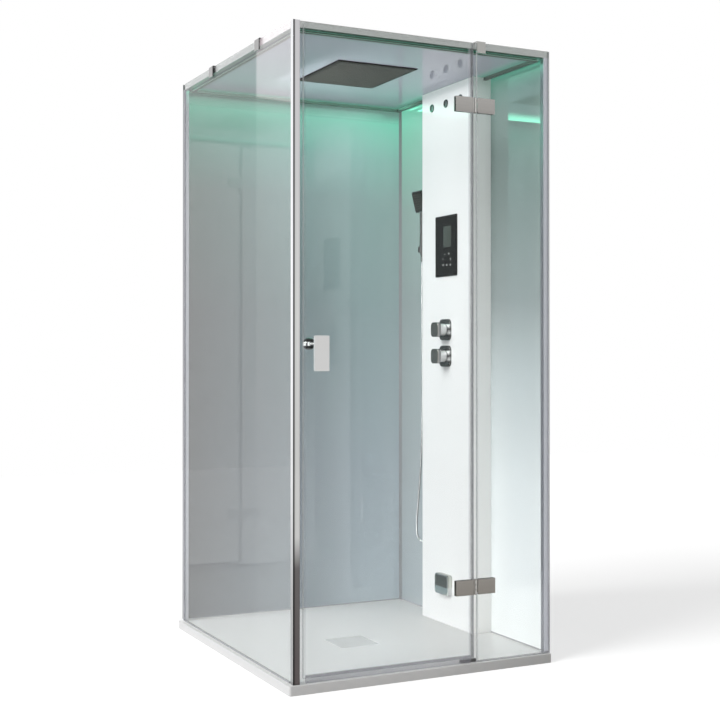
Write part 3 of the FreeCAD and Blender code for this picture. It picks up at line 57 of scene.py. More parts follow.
CAMERA_PLACE = (-2.0692, -4.2252, 1.0827)
CAMERA_YAW = math.radians(26.361)
CAMERA_PITCH = math.radians(0.425)
FOCAL_LENGTH = 62.95
SENSOR_WIDTH = 36
LENS_SHIFT = -0.02125
camera_data = bpy.data.cameras.new("camera")
camera_data.lens = FOCAL_LENGTH
camera_data.sensor_width = SENSOR_WIDTH
camera_data.shift_y = LENS_SHIFT
camera = bpy.data.objects.new("camera", camera_data)
camera.location = CAMERA_PLACE
camera.rotation_euler = (math.pi / 2 + CAMERA_PITCH, 0, -CAMERA_YAW)
bpy.context.scene.collection.objects.link(camera)
bpy.context.scene.camera = camera


# ---- shower hose -----------------------------------------------------------------------------
# Limp 10 mm hose wound from a metallised strip, crimped into a ferrule at each end. It hangs from
# the union on the column's side, turns once low down and rises to the hand shower's cone nut.

def material(name, colour, roughness, metallic=0.0, **sockets):
    """A Principled material with plain values. Returns it with its node tree and shader."""
    made = bpy.data.materials.new(name)
    made.use_nodes = True
    shader = made.node_tree.nodes["Principled BSDF"]
    shader.inputs["Base Color"].default_value = (*colour, 1)
    shader.inputs["Roughness"].default_value = roughness
    shader.inputs["Metallic"].default_value = metallic
    for key, value in sockets.items():
        shader.inputs[key.replace("_", " ")].default_value = value
    made.diffuse_color = (*colour, 1)
    return made, made.node_tree, shader


def add(tree, kind, *links, **settings):
    """Adds a node, sets its properties and links (socket, source) pairs into it."""
    node = tree.nodes.new(kind)
    for key, value in settings.items():
        setattr(node, key, value)
    for socket, source in links:
        if isinstance(source, bpy.types.NodeSocket):
            tree.links.new(source, node.inputs[socket])
        else:
            node.inputs[socket].default_value = source
    return node


def math_node(tree, operation, a, b=0.0, c=0.0, clamp=False):
    """The result of one operation on numbers or number sockets."""
    links = [(0, a), (1, b)] + ([(2, c)] if operation == "MULTIPLY_ADD" else [])
    return add(tree, "ShaderNodeMath", *links, operation=operation, use_clamp=clamp).outputs[0]


def blend_colour(tree, factor, a, b, mode="MIX"):
    """Two colours or colour sockets, mixed by a factor."""
    return add(tree, "ShaderNodeMix", (0, factor), (6, a), (7, b), data_type="RGBA",
               blend_type=mode).outputs[2]


HOSE_ROUTE = [
    (0.455, 0.240, 0.640), (0.455, 0.240, 0.545), (0.4575, 0.240, 0.450), (0.457, 0.2395, 0.385),
    (0.456, 0.241, 0.3335), (0.4452, 0.2725, 0.314), (0.4345, 0.304, 0.3335),
    (0.4335, 0.303, 0.386), (0.434, 0.296, 0.450), (0.435, 0.282, 0.545), (0.436, 0.268, 0.660),
    (0.437, 0.263, 0.790), (0.4376, 0.2605, 0.930), (0.437, 0.260, 1.070), (0.4365, 0.261, 1.210),
    (0.437, 0.2625, 1.330), (0.437, 0.262, 1.420), (0.437, 0.262, 1.487),
]
HOSE_RADIUS = 0.005
HOSE_LENGTH = 1.53
HOSE_WINDING = 0.0021
HOSE_STEPS = 40
RIDGE_DEPTH = 0.00035
# The grooves between the strip's turns are painted darker than its ridges, as painted shade.
GROOVE_SHADE_GREY = (0.30, 0.30, 0.30, 1)
RIDGE_GREY = (0.72, 0.72, 0.73, 1)


def deselect():
    for thing in bpy.context.selected_objects:
        thing.select_set(False)


def activate(thing):
    deselect()
    thing.select_set(True)
    bpy.context.view_layer.objects.active = thing


def shower_hose():
    """The hose along its route, and the points of its centre line."""
    curve = bpy.data.curves.new("shower_hose_line", "CURVE")
    curve.dimensions = "3D"
    line = curve.splines.new("NURBS")
    line.points.add(len(HOSE_ROUTE) - 1)
    for point, place in zip(line.points, HOSE_ROUTE):
        point.co = (*place, 1)
    line.order_u = 3
    line.use_endpoint_u = True
    line.resolution_u = HOSE_STEPS
    curve.resolution_u = HOSE_STEPS
    piece = bpy.data.objects.new("shower_hose_wound", curve)
    bpy.context.scene.collection.objects.link(piece)
    bare = bpy.data.meshes.new_from_object(piece)
    path = [tuple(v.co) for v in bare.vertices]
    bpy.data.meshes.remove(bare)
    curve.bevel_depth = HOSE_RADIUS - RIDGE_DEPTH
    curve.bevel_resolution = 4
    activate(piece)
    bpy.ops.object.convert(target="MESH")
    piece = bpy.context.object
    bpy.ops.object.shade_smooth()
    return piece, path


hose, hose_path = shower_hose()
hose_steel, tree, shader = material("wound_hose", (0.60, 0.60, 0.60), 0.22, 0.9)
along = add(tree, "ShaderNodeSeparateXYZ",
            ("Vector", add(tree, "ShaderNodeUVMap").outputs[0])).outputs
turns = math_node(tree, "ADD", math_node(tree, "MULTIPLY", along[0], HOSE_LENGTH / HOSE_WINDING),
                  along[1])
ridge = math_node(tree, "SINE", math_node(tree, "MULTIPLY", turns, math.tau))
groove = math_node(tree, "MULTIPLY_ADD", ridge, 0.5, 0.5)
tree.links.new(blend_colour(tree, groove, GROOVE_SHADE_GREY, RIDGE_GREY), shader.inputs["Base Color"])
bump = add(tree, "ShaderNodeBump", ("Height", groove), ("Strength", 0.6),
           ("Distance", RIDGE_DEPTH))
tree.links.new(bump.outputs[0], shader.inputs["Normal"])
hose.data.materials.clear()
hose.data.materials.append(hose_steel)
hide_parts("shower_hose")
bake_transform(hose)


# ---- tray ------------------------------------------------------------------------------------
# One cast slab of white mineral resin with a satin gel coat.

BUMP_STRENGTH = 0.25
BUMP_DEPTH = 0.0006
SMEAR_SCALE = 3.5
FINE_SHARE = 0.4


def node_group(name, size_label, size_kind):
    """An empty finish group with a size input of its own, and its two end nodes."""
    group = bpy.data.node_groups.new(name, "ShaderNodeTree")
    inputs = [("Colour", "Color"), ("Roughness", "Float"), (size_label, size_kind),
              ("Colour change", "Float"), ("Roughness change", "Float")]
    outputs = [("Colour", "Color"), ("Roughness", "Float"), ("Height", "Float")]
    for direction, sockets in (("INPUT", inputs), ("OUTPUT", outputs)):
        for label, kind in sockets:
            group.interface.new_socket(label, in_out=direction, socket_type="NodeSocket" + kind)
    start = group.nodes.new("NodeGroupInput")
    end = group.nodes.new("NodeGroupOutput")
    return group, start, end


def end_group(group, start, end, pattern, smoothest):
    """Lets a pattern round 0.5 change the group's colour and roughness."""
    centred = math_node(group, "SUBTRACT", pattern, 0.5)
    lift = math_node(group, "MULTIPLY_ADD", centred, start.outputs["Colour change"], 1.0)
    tint = add(group, "ShaderNodeVectorMath", (0, start.outputs["Colour"]), operation="SCALE")
    group.links.new(lift, tint.inputs["Scale"])
    group.links.new(tint.outputs[0], end.inputs["Colour"])
    rough = math_node(group, "MULTIPLY_ADD", centred, start.outputs["Roughness change"],
                      start.outputs["Roughness"])
    group.links.new(math_node(group, "MAXIMUM", rough, smoothest), end.inputs["Roughness"])


def worn_group():
    """Fine mottling and wipe marks of a handled surface, on Object coordinates."""
    group, start, end = node_group("worn_finish", "Scale", "Float")
    place = add(group, "ShaderNodeTexCoord").outputs["Object"]
    fine = add(group, "ShaderNodeTexNoise", ("Vector", place), ("Scale", start.outputs["Scale"]),
               ("Detail", 5.0), ("Roughness", 0.6)).outputs[0]
    wide = add(group, "ShaderNodeTexNoise", ("Vector", place), ("Scale", SMEAR_SCALE),
               ("Detail", 2.0)).outputs[0]
    both = math_node(group, "ADD", math_node(group, "MULTIPLY", fine, FINE_SHARE),
                     math_node(group, "MULTIPLY", wide, 1 - FINE_SHARE))
    end_group(group, start, end, both, 0.005)
    group.links.new(fine, end.inputs["Height"])
    return group


def use_group(tree, group, shader, **values):
    """Places a finish group and feeds its colour, roughness and height to the shader."""
    node = tree.nodes.new("ShaderNodeGroup")
    node.node_tree = group
    for key, value in values.items():
        node.inputs[key.replace("_", " ")].default_value = value
    tree.links.new(node.outputs["Colour"], shader.inputs["Base Color"])
    tree.links.new(node.outputs["Roughness"], shader.inputs["Roughness"])
    bump = add(tree, "ShaderNodeBump", ("Height", node.outputs["Height"]),
               ("Strength", BUMP_STRENGTH), ("Distance", BUMP_DEPTH))
    tree.links.new(bump.outputs[0], shader.inputs["Normal"])
    return node


def paint(finish, *names):
    """Gives CAD nodes their material."""
    for name in names:
        slots = nodes[name].data.materials
        slots.clear()
        slots.append(finish)


def object_axes(tree):
    """The three Object coordinates, in metres."""
    place = add(tree, "ShaderNodeTexCoord").outputs["Object"]
    return add(tree, "ShaderNodeSeparateXYZ", ("Vector", place)).outputs


def axis_ramp(tree, axis, low, high, *stops):
    """A colour, or a grey where a stop has one number, that changes along one Object axis. The
    stops stand at places in metres, from low to high."""
    value = object_axes(tree)["XYZ".index(axis)]
    share = add(tree, "ShaderNodeMapRange", ("Value", value), ("From Min", low),
                ("From Max", high)).outputs[0]
    ramp = add(tree, "ShaderNodeValToRGB", ("Fac", share))
    elements = ramp.color_ramp.elements
    while len(elements) < len(stops):
        elements.new(0.5)
    for element, (place, colour) in zip(elements, stops):
        element.position = (place - low) / (high - low)
        element.color = (*colour, 1) if isinstance(colour, tuple) else (colour, colour, colour, 1)
    return ramp.outputs[0]


def multiply(tree, a, b):
    return blend_colour(tree, 1.0, a, b, "MULTIPLY")


worn = worn_group()
cast_resin, tree, shader = material("cast_resin", (0.70, 0.70, 0.69), 0.28, IOR=1.49)
gel_coat = use_group(tree, worn, shader, Roughness=0.3, Scale=90.0, Colour_change=0.02,
                     Roughness_change=0.06)
# Painted light and shade: the top is lighter at the left and darker towards the right, with a dark
# line at its very left edge, and the front face is painted darker than the top.
light_across = axis_ramp(tree, "X", -0.51, 0.51, (-0.4995, (0.56, 0.56, 0.565)),
                   (-0.497, (0.87, 0.87, 0.86)), (0.0, (0.81, 0.81, 0.80)),
                   (0.22, (0.70, 0.70, 0.69)), (0.48, (0.61, 0.61, 0.60)))
front_face_shade = axis_ramp(tree, "Y", -0.5575, -0.5500, (-0.5574, (0.78, 0.77, 0.77)), (-0.5510, 1))
tree.links.new(multiply(tree, light_across, front_face_shade), gel_coat.inputs["Colour"])
paint(cast_resin, "shower_tray")


# ---- waste -----------------------------------------------------------------------------------
# Pressed stainless flange and strainer under a square lift-out cover in the tray's own resin.

def worn_finish(name, colour, roughness, metallic, scale, changes, **sockets):
    """A material of one worn colour. The changes are those of its colour and its roughness."""
    made, tree, shader = material(name, colour, roughness, metallic, **sockets)
    use_group(tree, worn, shader, Colour=(*colour, 1), Roughness=roughness, Scale=scale,
              Colour_change=changes[0], Roughness_change=changes[1])
    return made


steel = worn_finish("pressed_steel", (0.55, 0.55, 0.55), 0.3, 1.0, 220.0, (0.12, 0.2))
paint(steel, "drain_flange", "drain_strainer", "steam_generator")
cover_resin = worn_finish("cover_resin", (0.71, 0.71, 0.70), 0.22, 0.0, 60.0, (0.04, 0.1), IOR=1.49)
paint(cover_resin, "drain_cover")


# ---- frame -----------------------------------------------------------------------------------
# Extruded aluminium: a bright-dipped post at the front left, satin anodised rails and profiles
# elsewhere, and a grey strip in the walls' corner. The die's draw marks run along every length.

def drawn_group():
    """Fine lines along one axis, left by a die or a grinding belt."""
    group, start, end = node_group("drawn_lines", "Stretch", "Vector")
    place = add(group, "ShaderNodeTexCoord").outputs["Object"]
    scaled = add(group, "ShaderNodeVectorMath", (0, place), (1, start.outputs["Stretch"]),
                 operation="MULTIPLY").outputs[0]
    lines = add(group, "ShaderNodeTexNoise", ("Vector", scaled), ("Scale", 1.0), ("Detail", 4.0),
                ("Roughness", 0.65)).outputs[0]
    end_group(group, start, end, lines, 0.01)
    group.links.new(lines, end.inputs["Height"])
    return group


def drawn_finish(name, colour, roughness, metallic, stretch, changes, **sockets):
    """A material of one drawn colour. The changes are those of its colour and its roughness."""
    made, tree, shader = material(name, colour, roughness, metallic, **sockets)
    use_group(tree, drawn, shader, Colour=(*colour, 1), Roughness=roughness, Stretch=stretch,
              Colour_change=changes[0], Roughness_change=changes[1])
    return made


drawn = drawn_group()
ALONG_Z = (260.0, 260.0, 1.5)
ALONG_X = (1.5, 260.0, 260.0)
ALONG_Y = (260.0, 1.5, 260.0)
POST_OUTER_SIDE = -0.48285
post_metal, tree, shader = material("bright_dipped_post", (0.62, 0.61, 0.61), 0.1, 1.0)
lines = use_group(tree, drawn, shader, Roughness=0.1, Stretch=ALONG_Z, Colour_change=0.14,
                  Roughness_change=0.08)
# Painted reflection and shade: the post is painted near black low down and lighter up its length,
# its face carries a painted highlight between dark lines, and its outer side is painted lighter
# towards the top.
post_height_shade = axis_ramp(tree, "Z", 0.0, 2.2, (0.05, (0.10, 0.085, 0.085)), (0.40, (0.13, 0.12, 0.12)),
                 (0.50, (0.54, 0.54, 0.53)), (1.20, (0.64, 0.64, 0.63)),
                 (2.15, (0.57, 0.56, 0.58)))
light_across = axis_ramp(tree, "X", -0.4832, -0.4590, (-0.4831, 0.03), (-0.4790, 0.06), (-0.4765, 0.9),
                   (-0.4700, 1.0), (-0.4610, (0.95, 0.95, 0.96)), (-0.4592, (0.45, 0.45, 0.47)))
post_side_light = axis_ramp(tree, "Z", 0.0, 2.2, (0.05, (0.36, 0.36, 0.37)), (0.32, (0.42, 0.42, 0.43)),
                      (0.55, (0.62, 0.62, 0.64)), (0.80, (0.80, 0.80, 0.82)),
                      (1.10, (0.93, 0.93, 0.96)))
outer_side = math_node(tree, "LESS_THAN", object_axes(tree)[0], POST_OUTER_SIDE)
tree.links.new(blend_colour(tree, outer_side, multiply(tree, post_height_shade, light_across), post_side_light),
               lines.inputs["Colour"])
paint(post_metal, "front_left_post")
satin = drawn_finish("satin_profile", (0.46, 0.46, 0.50), 0.3, 1.0, ALONG_Z, (0.2, 0.15))
paint(satin, "back_left_profile", "front_right_profile")
corner_grey = drawn_finish("corner_strip_grey", (0.29, 0.30, 0.31), 0.45, 0.0, ALONG_Z,
                           (0.2, 0.15), IOR=1.3)
paint(corner_grey, "inner_corner_strip")
# The front rail is painted darker than the side rails, which are the same satin metal: painted
# shade.
rail_front_shaded = drawn_finish("satin_rail_front_shaded", (0.40, 0.41, 0.40), 0.3, 1.0, ALONG_X, (0.3, 0.15))
paint(rail_front_shaded, "top_rail_front")
rail_side_lit = drawn_finish("satin_rail_side_lit", (0.62, 0.62, 0.62), 0.32, 1.0, ALONG_Y, (0.2, 0.15))
paint(rail_side_lit, "top_rail_left", "wall_top_rails")


# ---- ceiling and its light cornice -----------------------------------------------------------
# Pale blue-grey panel, glossy enough to mirror the column, with a dark cornice round its edge. The
# cornice hides green light strips; their wash on the ceiling's edge and the tops of the walls is
# painted light.

def fade(tree, distance, reach, strength=1.0):
    """The strength on the line, falling smoothly to 0 at the reach."""
    return add(tree, "ShaderNodeMapRange", ("Value", distance), ("From Min", 0.0),
               ("From Max", reach), ("To Min", strength), ("To Max", 0.0),
               interpolation_type="SMOOTHERSTEP").outputs[0]


def mirror_rays(tree):
    """1 in mirror images, and 0 to the eye or through glass."""
    rays = add(tree, "ShaderNodeLightPath").outputs
    return math_node(tree, "SUBTRACT", rays["Is Glossy Ray"], rays["Is Transmission Ray"],
                     clamp=True)


def face_below(tree, node_name):
    """1 on the lower face of a level CAD plate, and 0 on the rest of it."""
    height = object_axes(tree)[2]
    return math_node(tree, "LESS_THAN", height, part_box(node_name)[0].z + FACE_DEPTH)


def light_up(tree, shader, colour):
    """Lets the piece shine in a colour or a colour socket."""
    tree.links.new(colour, shader.inputs["Emission Color"])
    shader.inputs["Emission Strength"].default_value = 1.0


FACE_DEPTH = 0.001
CEILING_GREY = (0.50, 0.50, 0.585)
PAINTED_EDGE_GREEN = (0.28, 0.50, 0.45, 1)
GREEN_CORE = (0.25, 1.0, 0.66)
GLOW_REACH = 0.09
GLOW_STRENGTH = 0.08
MIRRORED_REACH = 0.22
MIRRORED_GLOW = (0.4, 0.8, 4.2)
ceiling_low, ceiling_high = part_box("ceiling_panel")
ceiling_paint, tree, shader = material("glossy_ceiling", CEILING_GREY, 0.03, IOR=1.5)
axes = object_axes(tree)
from_right = math_node(tree, "SUBTRACT", ceiling_high.x, axes[0])
from_front = math_node(tree, "SUBTRACT", axes[1], ceiling_low.y)
from_back = math_node(tree, "SUBTRACT", ceiling_high.y, axes[1])
nearest = math_node(tree, "MINIMUM", math_node(tree, "MINIMUM", from_right, from_front), from_back)
# The green wash is painted: a green tint and a weak glow on the underside near its edges, and a
# stronger glow that shows only in mirror images, as painted light and painted reflection.
underside = face_below(tree, "ceiling_panel")
washed = math_node(tree, "MULTIPLY", fade(tree, nearest, GLOW_REACH), underside)
tree.links.new(blend_colour(tree, washed, (*CEILING_GREY, 1), PAINTED_EDGE_GREEN),
               shader.inputs["Base Color"])
glow = math_node(tree, "MULTIPLY", washed, GLOW_STRENGTH)
mirrored = mirror_rays(tree)
for distance, strength in zip((from_right, from_front, from_back), MIRRORED_GLOW):
    in_mirror = math_node(tree, "MULTIPLY", fade(tree, distance, MIRRORED_REACH, strength),
                          mirrored)
    glow = math_node(tree, "ADD", glow, in_mirror)
green_light = add(tree, "ShaderNodeVectorMath", (0, GREEN_CORE), operation="SCALE")
tree.links.new(math_node(tree, "MULTIPLY", glow, underside), green_light.inputs["Scale"])
light_up(tree, shader, green_light.outputs[0])
paint(ceiling_paint, "ceiling_panel")
cornice_dark = worn_finish("dark_cornice", (0.10, 0.105, 0.10), 0.4, 0.0, 120.0, (0.3, 0.2))
paint(cornice_dark, "light_cornice")
strip_glow = worn_finish("light_strip", (0.30, 0.42, 0.36), 0.5, 0.0, 200.0, (0.1, 0.1))
tree = strip_glow.node_tree
shine = axis_ramp(tree, "Z", 2.11, 2.13, (2.11, (0.02, 0.10, 0.06)), (2.13, (0.03, 0.14, 0.09)))
light_up(tree, tree.nodes["Principled BSDF"], shine)
paint(strip_glow, "light_strips")


# ---- wall panels -----------------------------------------------------------------------------
# Two 8 mm glass walls, painted grey-blue on the back, so they mirror what stands in the cabin. The
# cornice's green light is painted on them as a glow that washes down and fades into the grey, and
# their colour carries painted light and shade. The back wall is dull at the top.

def on_inner_face(tree, light, axis, inside):
    """The light, on the wall's face towards the cabin alone."""
    inner_face = axis_ramp(tree, axis, inside - FACE_DEPTH, inside + 3 * FACE_DEPTH,
                           (inside + FACE_DEPTH / 2, 1), (inside + 1.5 * FACE_DEPTH, 0))
    return multiply(tree, light, inner_face)


WALL_TOP = 2.15
WASH_FOOT = 1.2
WALL_GLOSS = 0.012
back_paint, tree, shader = material("back_wall_glass", (0.30, 0.34, 0.37), WALL_GLOSS, IOR=1.95)
# Painted shade and light: the back wall is darker towards the top, much darker at the left and
# lighter towards the right.
grey = axis_ramp(tree, "Z", 0.0, WALL_TOP, (0.04, (0.30, 0.34, 0.37)), (0.6, (0.26, 0.30, 0.33)),
                 (1.3, (0.20, 0.26, 0.27)), (2.13, (0.20, 0.24, 0.25)))
side_light = axis_ramp(tree, "X", -0.48, 0.49, (-0.47, (0.12, 0.12, 0.14)),
                       (-0.12, (0.85, 0.85, 0.87)), (0.05, 1.15), (0.30, (1.95, 1.93, 1.90)),
                       (0.49, (2.0, 1.97, 1.93)))
tree.links.new(multiply(tree, grey, side_light), shader.inputs["Base Color"])
dulled = axis_ramp(tree, "Z", 0.0, WALL_TOP, (1.88, WALL_GLOSS), (1.98, 0.08), (2.09, 0.30))
tree.links.new(dulled, shader.inputs["Roughness"])
# The green wash is a painted glow on the wall's inner face.
wash = axis_ramp(tree, "Z", WASH_FOOT, WALL_TOP, (1.25, 0), (1.74, (0.0, 0.035, 0.02)),
                 (1.91, (0.0, 0.11, 0.07)), (2.03, (0.01, 0.24, 0.14)),
                 (2.065, (0.015, 0.29, 0.17)), (2.085, (0.01, 0.17, 0.10)),
                 (2.105, (0.0, 0.02, 0.01)))
light_up(tree, shader, on_inner_face(tree, wash, "Y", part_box("back_wall_panel")[0].y))
paint(back_paint, "back_wall_panel")
right_paint, tree, shader = material("right_wall_glass", (0.88, 0.91, 0.91), WALL_GLOSS, IOR=2.45)
# Painted light and shade: the right wall is painted pale low down and darker up high, lighter at
# its front edge, and darker near the corner in the column's painted shadow; its green wash is a
# painted glow, stronger in the corner.
front_part = axis_ramp(tree, "Z", 0.0, WALL_TOP, (0.04, (0.88, 0.91, 0.91)),
                       (0.33, (0.84, 0.88, 0.89)), (0.6, (0.77, 0.82, 0.83)),
                       (1.0, (0.52, 0.58, 0.59)), (1.28, (0.30, 0.35, 0.35)),
                       (1.65, (0.23, 0.29, 0.28)), (2.13, (0.25, 0.33, 0.31)))
corner_column_shadow = axis_ramp(tree, "Z", 0.0, WALL_TOP, (0.04, (0.38, 0.42, 0.44)),
                        (0.6, (0.36, 0.40, 0.41)), (1.3, (0.31, 0.36, 0.36)),
                        (2.13, (0.26, 0.33, 0.31)))
in_corner = axis_ramp(tree, "Y", -0.54, 0.55, (-0.15, 0), (0.22, 1))
both_parts = blend_colour(tree, in_corner, front_part, corner_column_shadow)
front_light = axis_ramp(tree, "Y", -0.545, 0.55, (-0.54, (1.15, 1.14, 1.13)), (-0.42, 1.06),
                        (-0.28, 1))
tree.links.new(multiply(tree, both_parts, front_light), shader.inputs["Base Color"])
front_wash = axis_ramp(tree, "Z", WASH_FOOT, WALL_TOP, (1.25, 0), (1.83, (0.0, 0.01, 0.006)),
                       (2.0, (0.0, 0.03, 0.02)), (2.06, (0.0, 0.06, 0.04)),
                       (2.10, (0.0, 0.10, 0.06)), (2.13, (0.0, 0.14, 0.09)))
corner_wash = axis_ramp(tree, "Z", WASH_FOOT, WALL_TOP, (1.30, 0), (1.69, (0.045, 0.09, 0.07)),
                        (2.0, (0.07, 0.26, 0.17)), (2.12, (0.09, 0.42, 0.28)))
wash = blend_colour(tree, in_corner, front_wash, corner_wash)
light_up(tree, shader, on_inner_face(tree, wash, "X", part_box("right_wall_panel")[0].x))
paint(right_paint, "right_wall_panel")


# ---- glass panes -----------------------------------------------------------------------------
# Toughened float glass with polished edges: a fixed side pane, a fixed front pane and the door. A
# hair's breadth of gasket keeps each pane off its profiles. The side pane beside the post carries a
# faint painted sheen, a glow that stands in for a reflection, and the cut edges carry painted
# highlights.

GASKET = 0.00025
MERGE_DISTANCE = 0.00001
MIRRORED_LIGHT = (0.62, 0.64, 0.65, 1)


def bright_in_mirrors(finish):
    """Paints a glow on the piece, as bright as the room behind it, that shows only in the walls'
    mirror images.
    """
    tree = finish.node_tree
    light_up(tree, tree.nodes["Principled BSDF"],
             blend_colour(tree, mirror_rays(tree), (0, 0, 0, 1), MIRRORED_LIGHT))


cut_edge, tree, shader = material("cut_glass_edge", (0.13, 0.15, 0.16), 0.15, IOR=1.5, Alpha=0.85)
ground = use_group(tree, worn, shader, Roughness=0.15, Scale=80.0, Colour_change=0.3,
                   Roughness_change=0.1)
# The cut edges are painted in light and dark bands along X, as painted highlights and shade.
edge_highlight_bands = axis_ramp(tree, "X", -0.5, 0.5, (-0.40, (0.60, 0.62, 0.62)), (0.10, (0.12, 0.13, 0.14)),
                      (0.186, (0.12, 0.13, 0.14)), (0.196, (0.62, 0.64, 0.64)),
                      (0.45, (0.62, 0.64, 0.64)), (0.46, (0.12, 0.13, 0.14)))
tree.links.new(edge_highlight_bands, ground.inputs["Colour"])
bright_in_mirrors(cut_edge)


def pane(node_name, name, axis, finish):
    """The pane of the CAD node, thinner by the gasket on each of its two faces."""
    mesh = nodes[node_name].data.copy()
    mesh.name = name
    form = bmesh.new()
    form.from_mesh(mesh)
    bmesh.ops.remove_doubles(form, verts=form.verts, dist=MERGE_DISTANCE)
    low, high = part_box(node_name)
    for vertex in form.verts:
        if vertex.co[axis] < (low[axis] + high[axis]) / 2:
            vertex.co[axis] += GASKET
        else:
            vertex.co[axis] -= GASKET
    form.to_mesh(mesh)
    form.free()
    mesh.materials.clear()
    mesh.materials.append(finish)
    mesh.materials.append(cut_edge)
    for face in mesh.polygons:
        cut = axis == 1 and abs(face.normal.x) > 0.9
        face.material_index = 1 if cut else 0
    piece = bpy.data.objects.new(name, mesh)
    bpy.context.scene.collection.objects.link(piece)
    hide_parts(node_name)
    return piece


GLASS_TINT = (0.965, 0.985, 0.98)
CLEARER_TINT = (0.975, 0.985, 0.985)
PASSED_LIGHT = 0.93


def float_glass(name, ior):
    """Clear glass that lets most of the light through to the shadows."""
    made, tree, shader = material(name, GLASS_TINT, 0.0, IOR=ior, Transmission_Weight=1.0)
    rays = add(tree, "ShaderNodeLightPath").outputs
    light = math_node(tree, "MAXIMUM", rays["Is Shadow Ray"], rays["Is Diffuse Ray"])
    tree.links.new(math_node(tree, "MULTIPLY_ADD", light, -PASSED_LIGHT, 1.0),
                   shader.inputs["Alpha"])
    return made, tree, shader


SHEEN_SLOPE = 0.24
SHEEN_EDGE = 2.014
SHEEN_BLUR = 0.004
SHEEN_ABOVE = (0.120, 0.102, 0.108, 1)
side_float, tree, shader = float_glass("side_float_glass", 1.22)
# A painted sheen: a faint glow on the side pane beside the post, brighter above a sloping line,
# stands in for a reflection.
painted_sheen = axis_ramp(tree, "Z", 0.0, 2.15, (0.1, 0.006), (0.9, (0.007, 0.006, 0.006)),
                 (1.7, (0.012, 0.014, 0.013)), (1.95, (0.022, 0.026, 0.024)))
axes = object_axes(tree)
sloping = math_node(tree, "MULTIPLY_ADD", axes[1], -SHEEN_SLOPE, axes[2])
above = add(tree, "ShaderNodeMapRange", ("Value", sloping), ("From Min", SHEEN_EDGE - SHEEN_BLUR),
            ("From Max", SHEEN_EDGE + SHEEN_BLUR)).outputs[0]
painted_sheen = blend_colour(tree, above, painted_sheen, SHEEN_ABOVE)
beside_post = axis_ramp(tree, "Y", -0.5455, 0.5575, (-0.226, 1), (-0.221, 0))
light_up(tree, shader, multiply(tree, painted_sheen, beside_post))
front_float, tree, shader = float_glass("front_float_glass", 1.18)
place = add(tree, "ShaderNodeTexCoord").outputs["Object"]
tint = add(tree, "ShaderNodeTexNoise", ("Vector", place), ("Scale", 1.5)).outputs[0]
tree.links.new(blend_colour(tree, tint, (*GLASS_TINT, 1), (*CLEARER_TINT, 1)),
               shader.inputs["Base Color"])
side_pane = pane("side_glass", "side_pane", 0, side_float)
fixed_pane = pane("fixed_front_glass", "fixed_pane", 1, front_float)
door_pane = pane("door_glass", "door_pane", 1, front_float)
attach(door_pane, "door")
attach(side_pane, "cabin")
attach(fixed_pane, "cabin")


# ---- seals -----------------------------------------------------------------------------------
# Extruded clear vinyl round the panes' edges and over the magnet strips by the post.

def clear_vinyl(name, colour, alpha, *names):
    paint(drawn_finish(name, colour, 0.25, 0.0, ALONG_Z, (0.25, 0.1), IOR=1.4, Alpha=alpha), *names)


clear_vinyl("sill_vinyl", (0.55, 0.56, 0.58), 0.55, "sill_seals")
clear_vinyl("bottom_vinyl", (0.42, 0.42, 0.46), 0.35, "door_bottom_seal")
clear_vinyl("hinge_side_vinyl", (0.30, 0.30, 0.32), 0.22, "door_hinge_seal")
clear_vinyl("fixed_side_vinyl", (0.45, 0.45, 0.47), 0.06, "fixed_edge_seal")
clear_vinyl("magnet_vinyl", (0.55, 0.56, 0.60), 0.04, "door_magnet_seal", "post_magnet_seal")


# ---- clamps, hinges and stop -----------------------------------------------------------------
# Cast and ground zinc with a brushed nickel plate. The grain runs across each hinge plate.

nickel, tree, shader = material("brushed_nickel", (0.32, 0.30, 0.28), 0.22, 1.0)
lines = use_group(tree, drawn, shader, Roughness=0.22, Stretch=ALONG_X, Colour_change=0.35,
                  Roughness_change=0.25)
# Painted light and reflection: the lower hinge is painted darker than the upper one, and the
# knuckles carry painted bands of highlight and shade.
hinge_height_shade = axis_ramp(tree, "Z", 0.2, 2.0, (0.26, (0.22, 0.205, 0.185)), (0.32, (0.25, 0.235, 0.215)),
                  (1.90, (0.31, 0.30, 0.285)), (1.96, (0.37, 0.36, 0.345)))
knuckle_highlights = axis_ramp(tree, "X", 0.180, 0.208, (0.1825, 1), (0.1845, 0.12), (0.1875, 1.6),
                    (0.1915, 0.25), (0.1955, 1.9), (0.1985, 0.15), (0.2035, 1))
tree.links.new(multiply(tree, hinge_height_shade, knuckle_highlights), lines.inputs["Colour"])
bright_in_mirrors(nickel)
paint(nickel, "fixed_hinge_leaves", "fixed_hinge_backs", "door_hinge_leaves", "door_hinge_backs")
clamp_metal, tree, shader = material("ground_clamp", (0.3, 0.3, 0.29), 0.12, 1.0)
lines = use_group(tree, drawn, shader, Roughness=0.12, Stretch=ALONG_X, Colour_change=0.2,
                  Roughness_change=0.1)
# Painted light and reflection: the front clamps are painted lighter than the side clamps, and each
# clamp brighter towards its edges.
turned_away = add(tree, "ShaderNodeLayerWeight", ("Blend", 0.45)).outputs["Facing"]
clamp_shading = axis_ramp(tree, "Y", -0.56, 0.3, (-0.50, (0.34, 0.34, 0.32)), (-0.40, 0.06))
tree.links.new(blend_colour(tree, turned_away, clamp_shading, (0.62, 0.62, 0.62, 1)),
               lines.inputs["Colour"])
paint(clamp_metal, "glass_clamps")
dark_stop = worn_finish("dark_stop", (0.06, 0.06, 0.06), 0.4, 0.0, 150.0, (0.3, 0.2))
paint(dark_stop, "door_stop", "display_housing", "column_chassis")


# ---- polished fittings -----------------------------------------------------------------------
# Turned or cast brass under bright chrome: pull, knobs, rosettes, screws, hand shower and union.

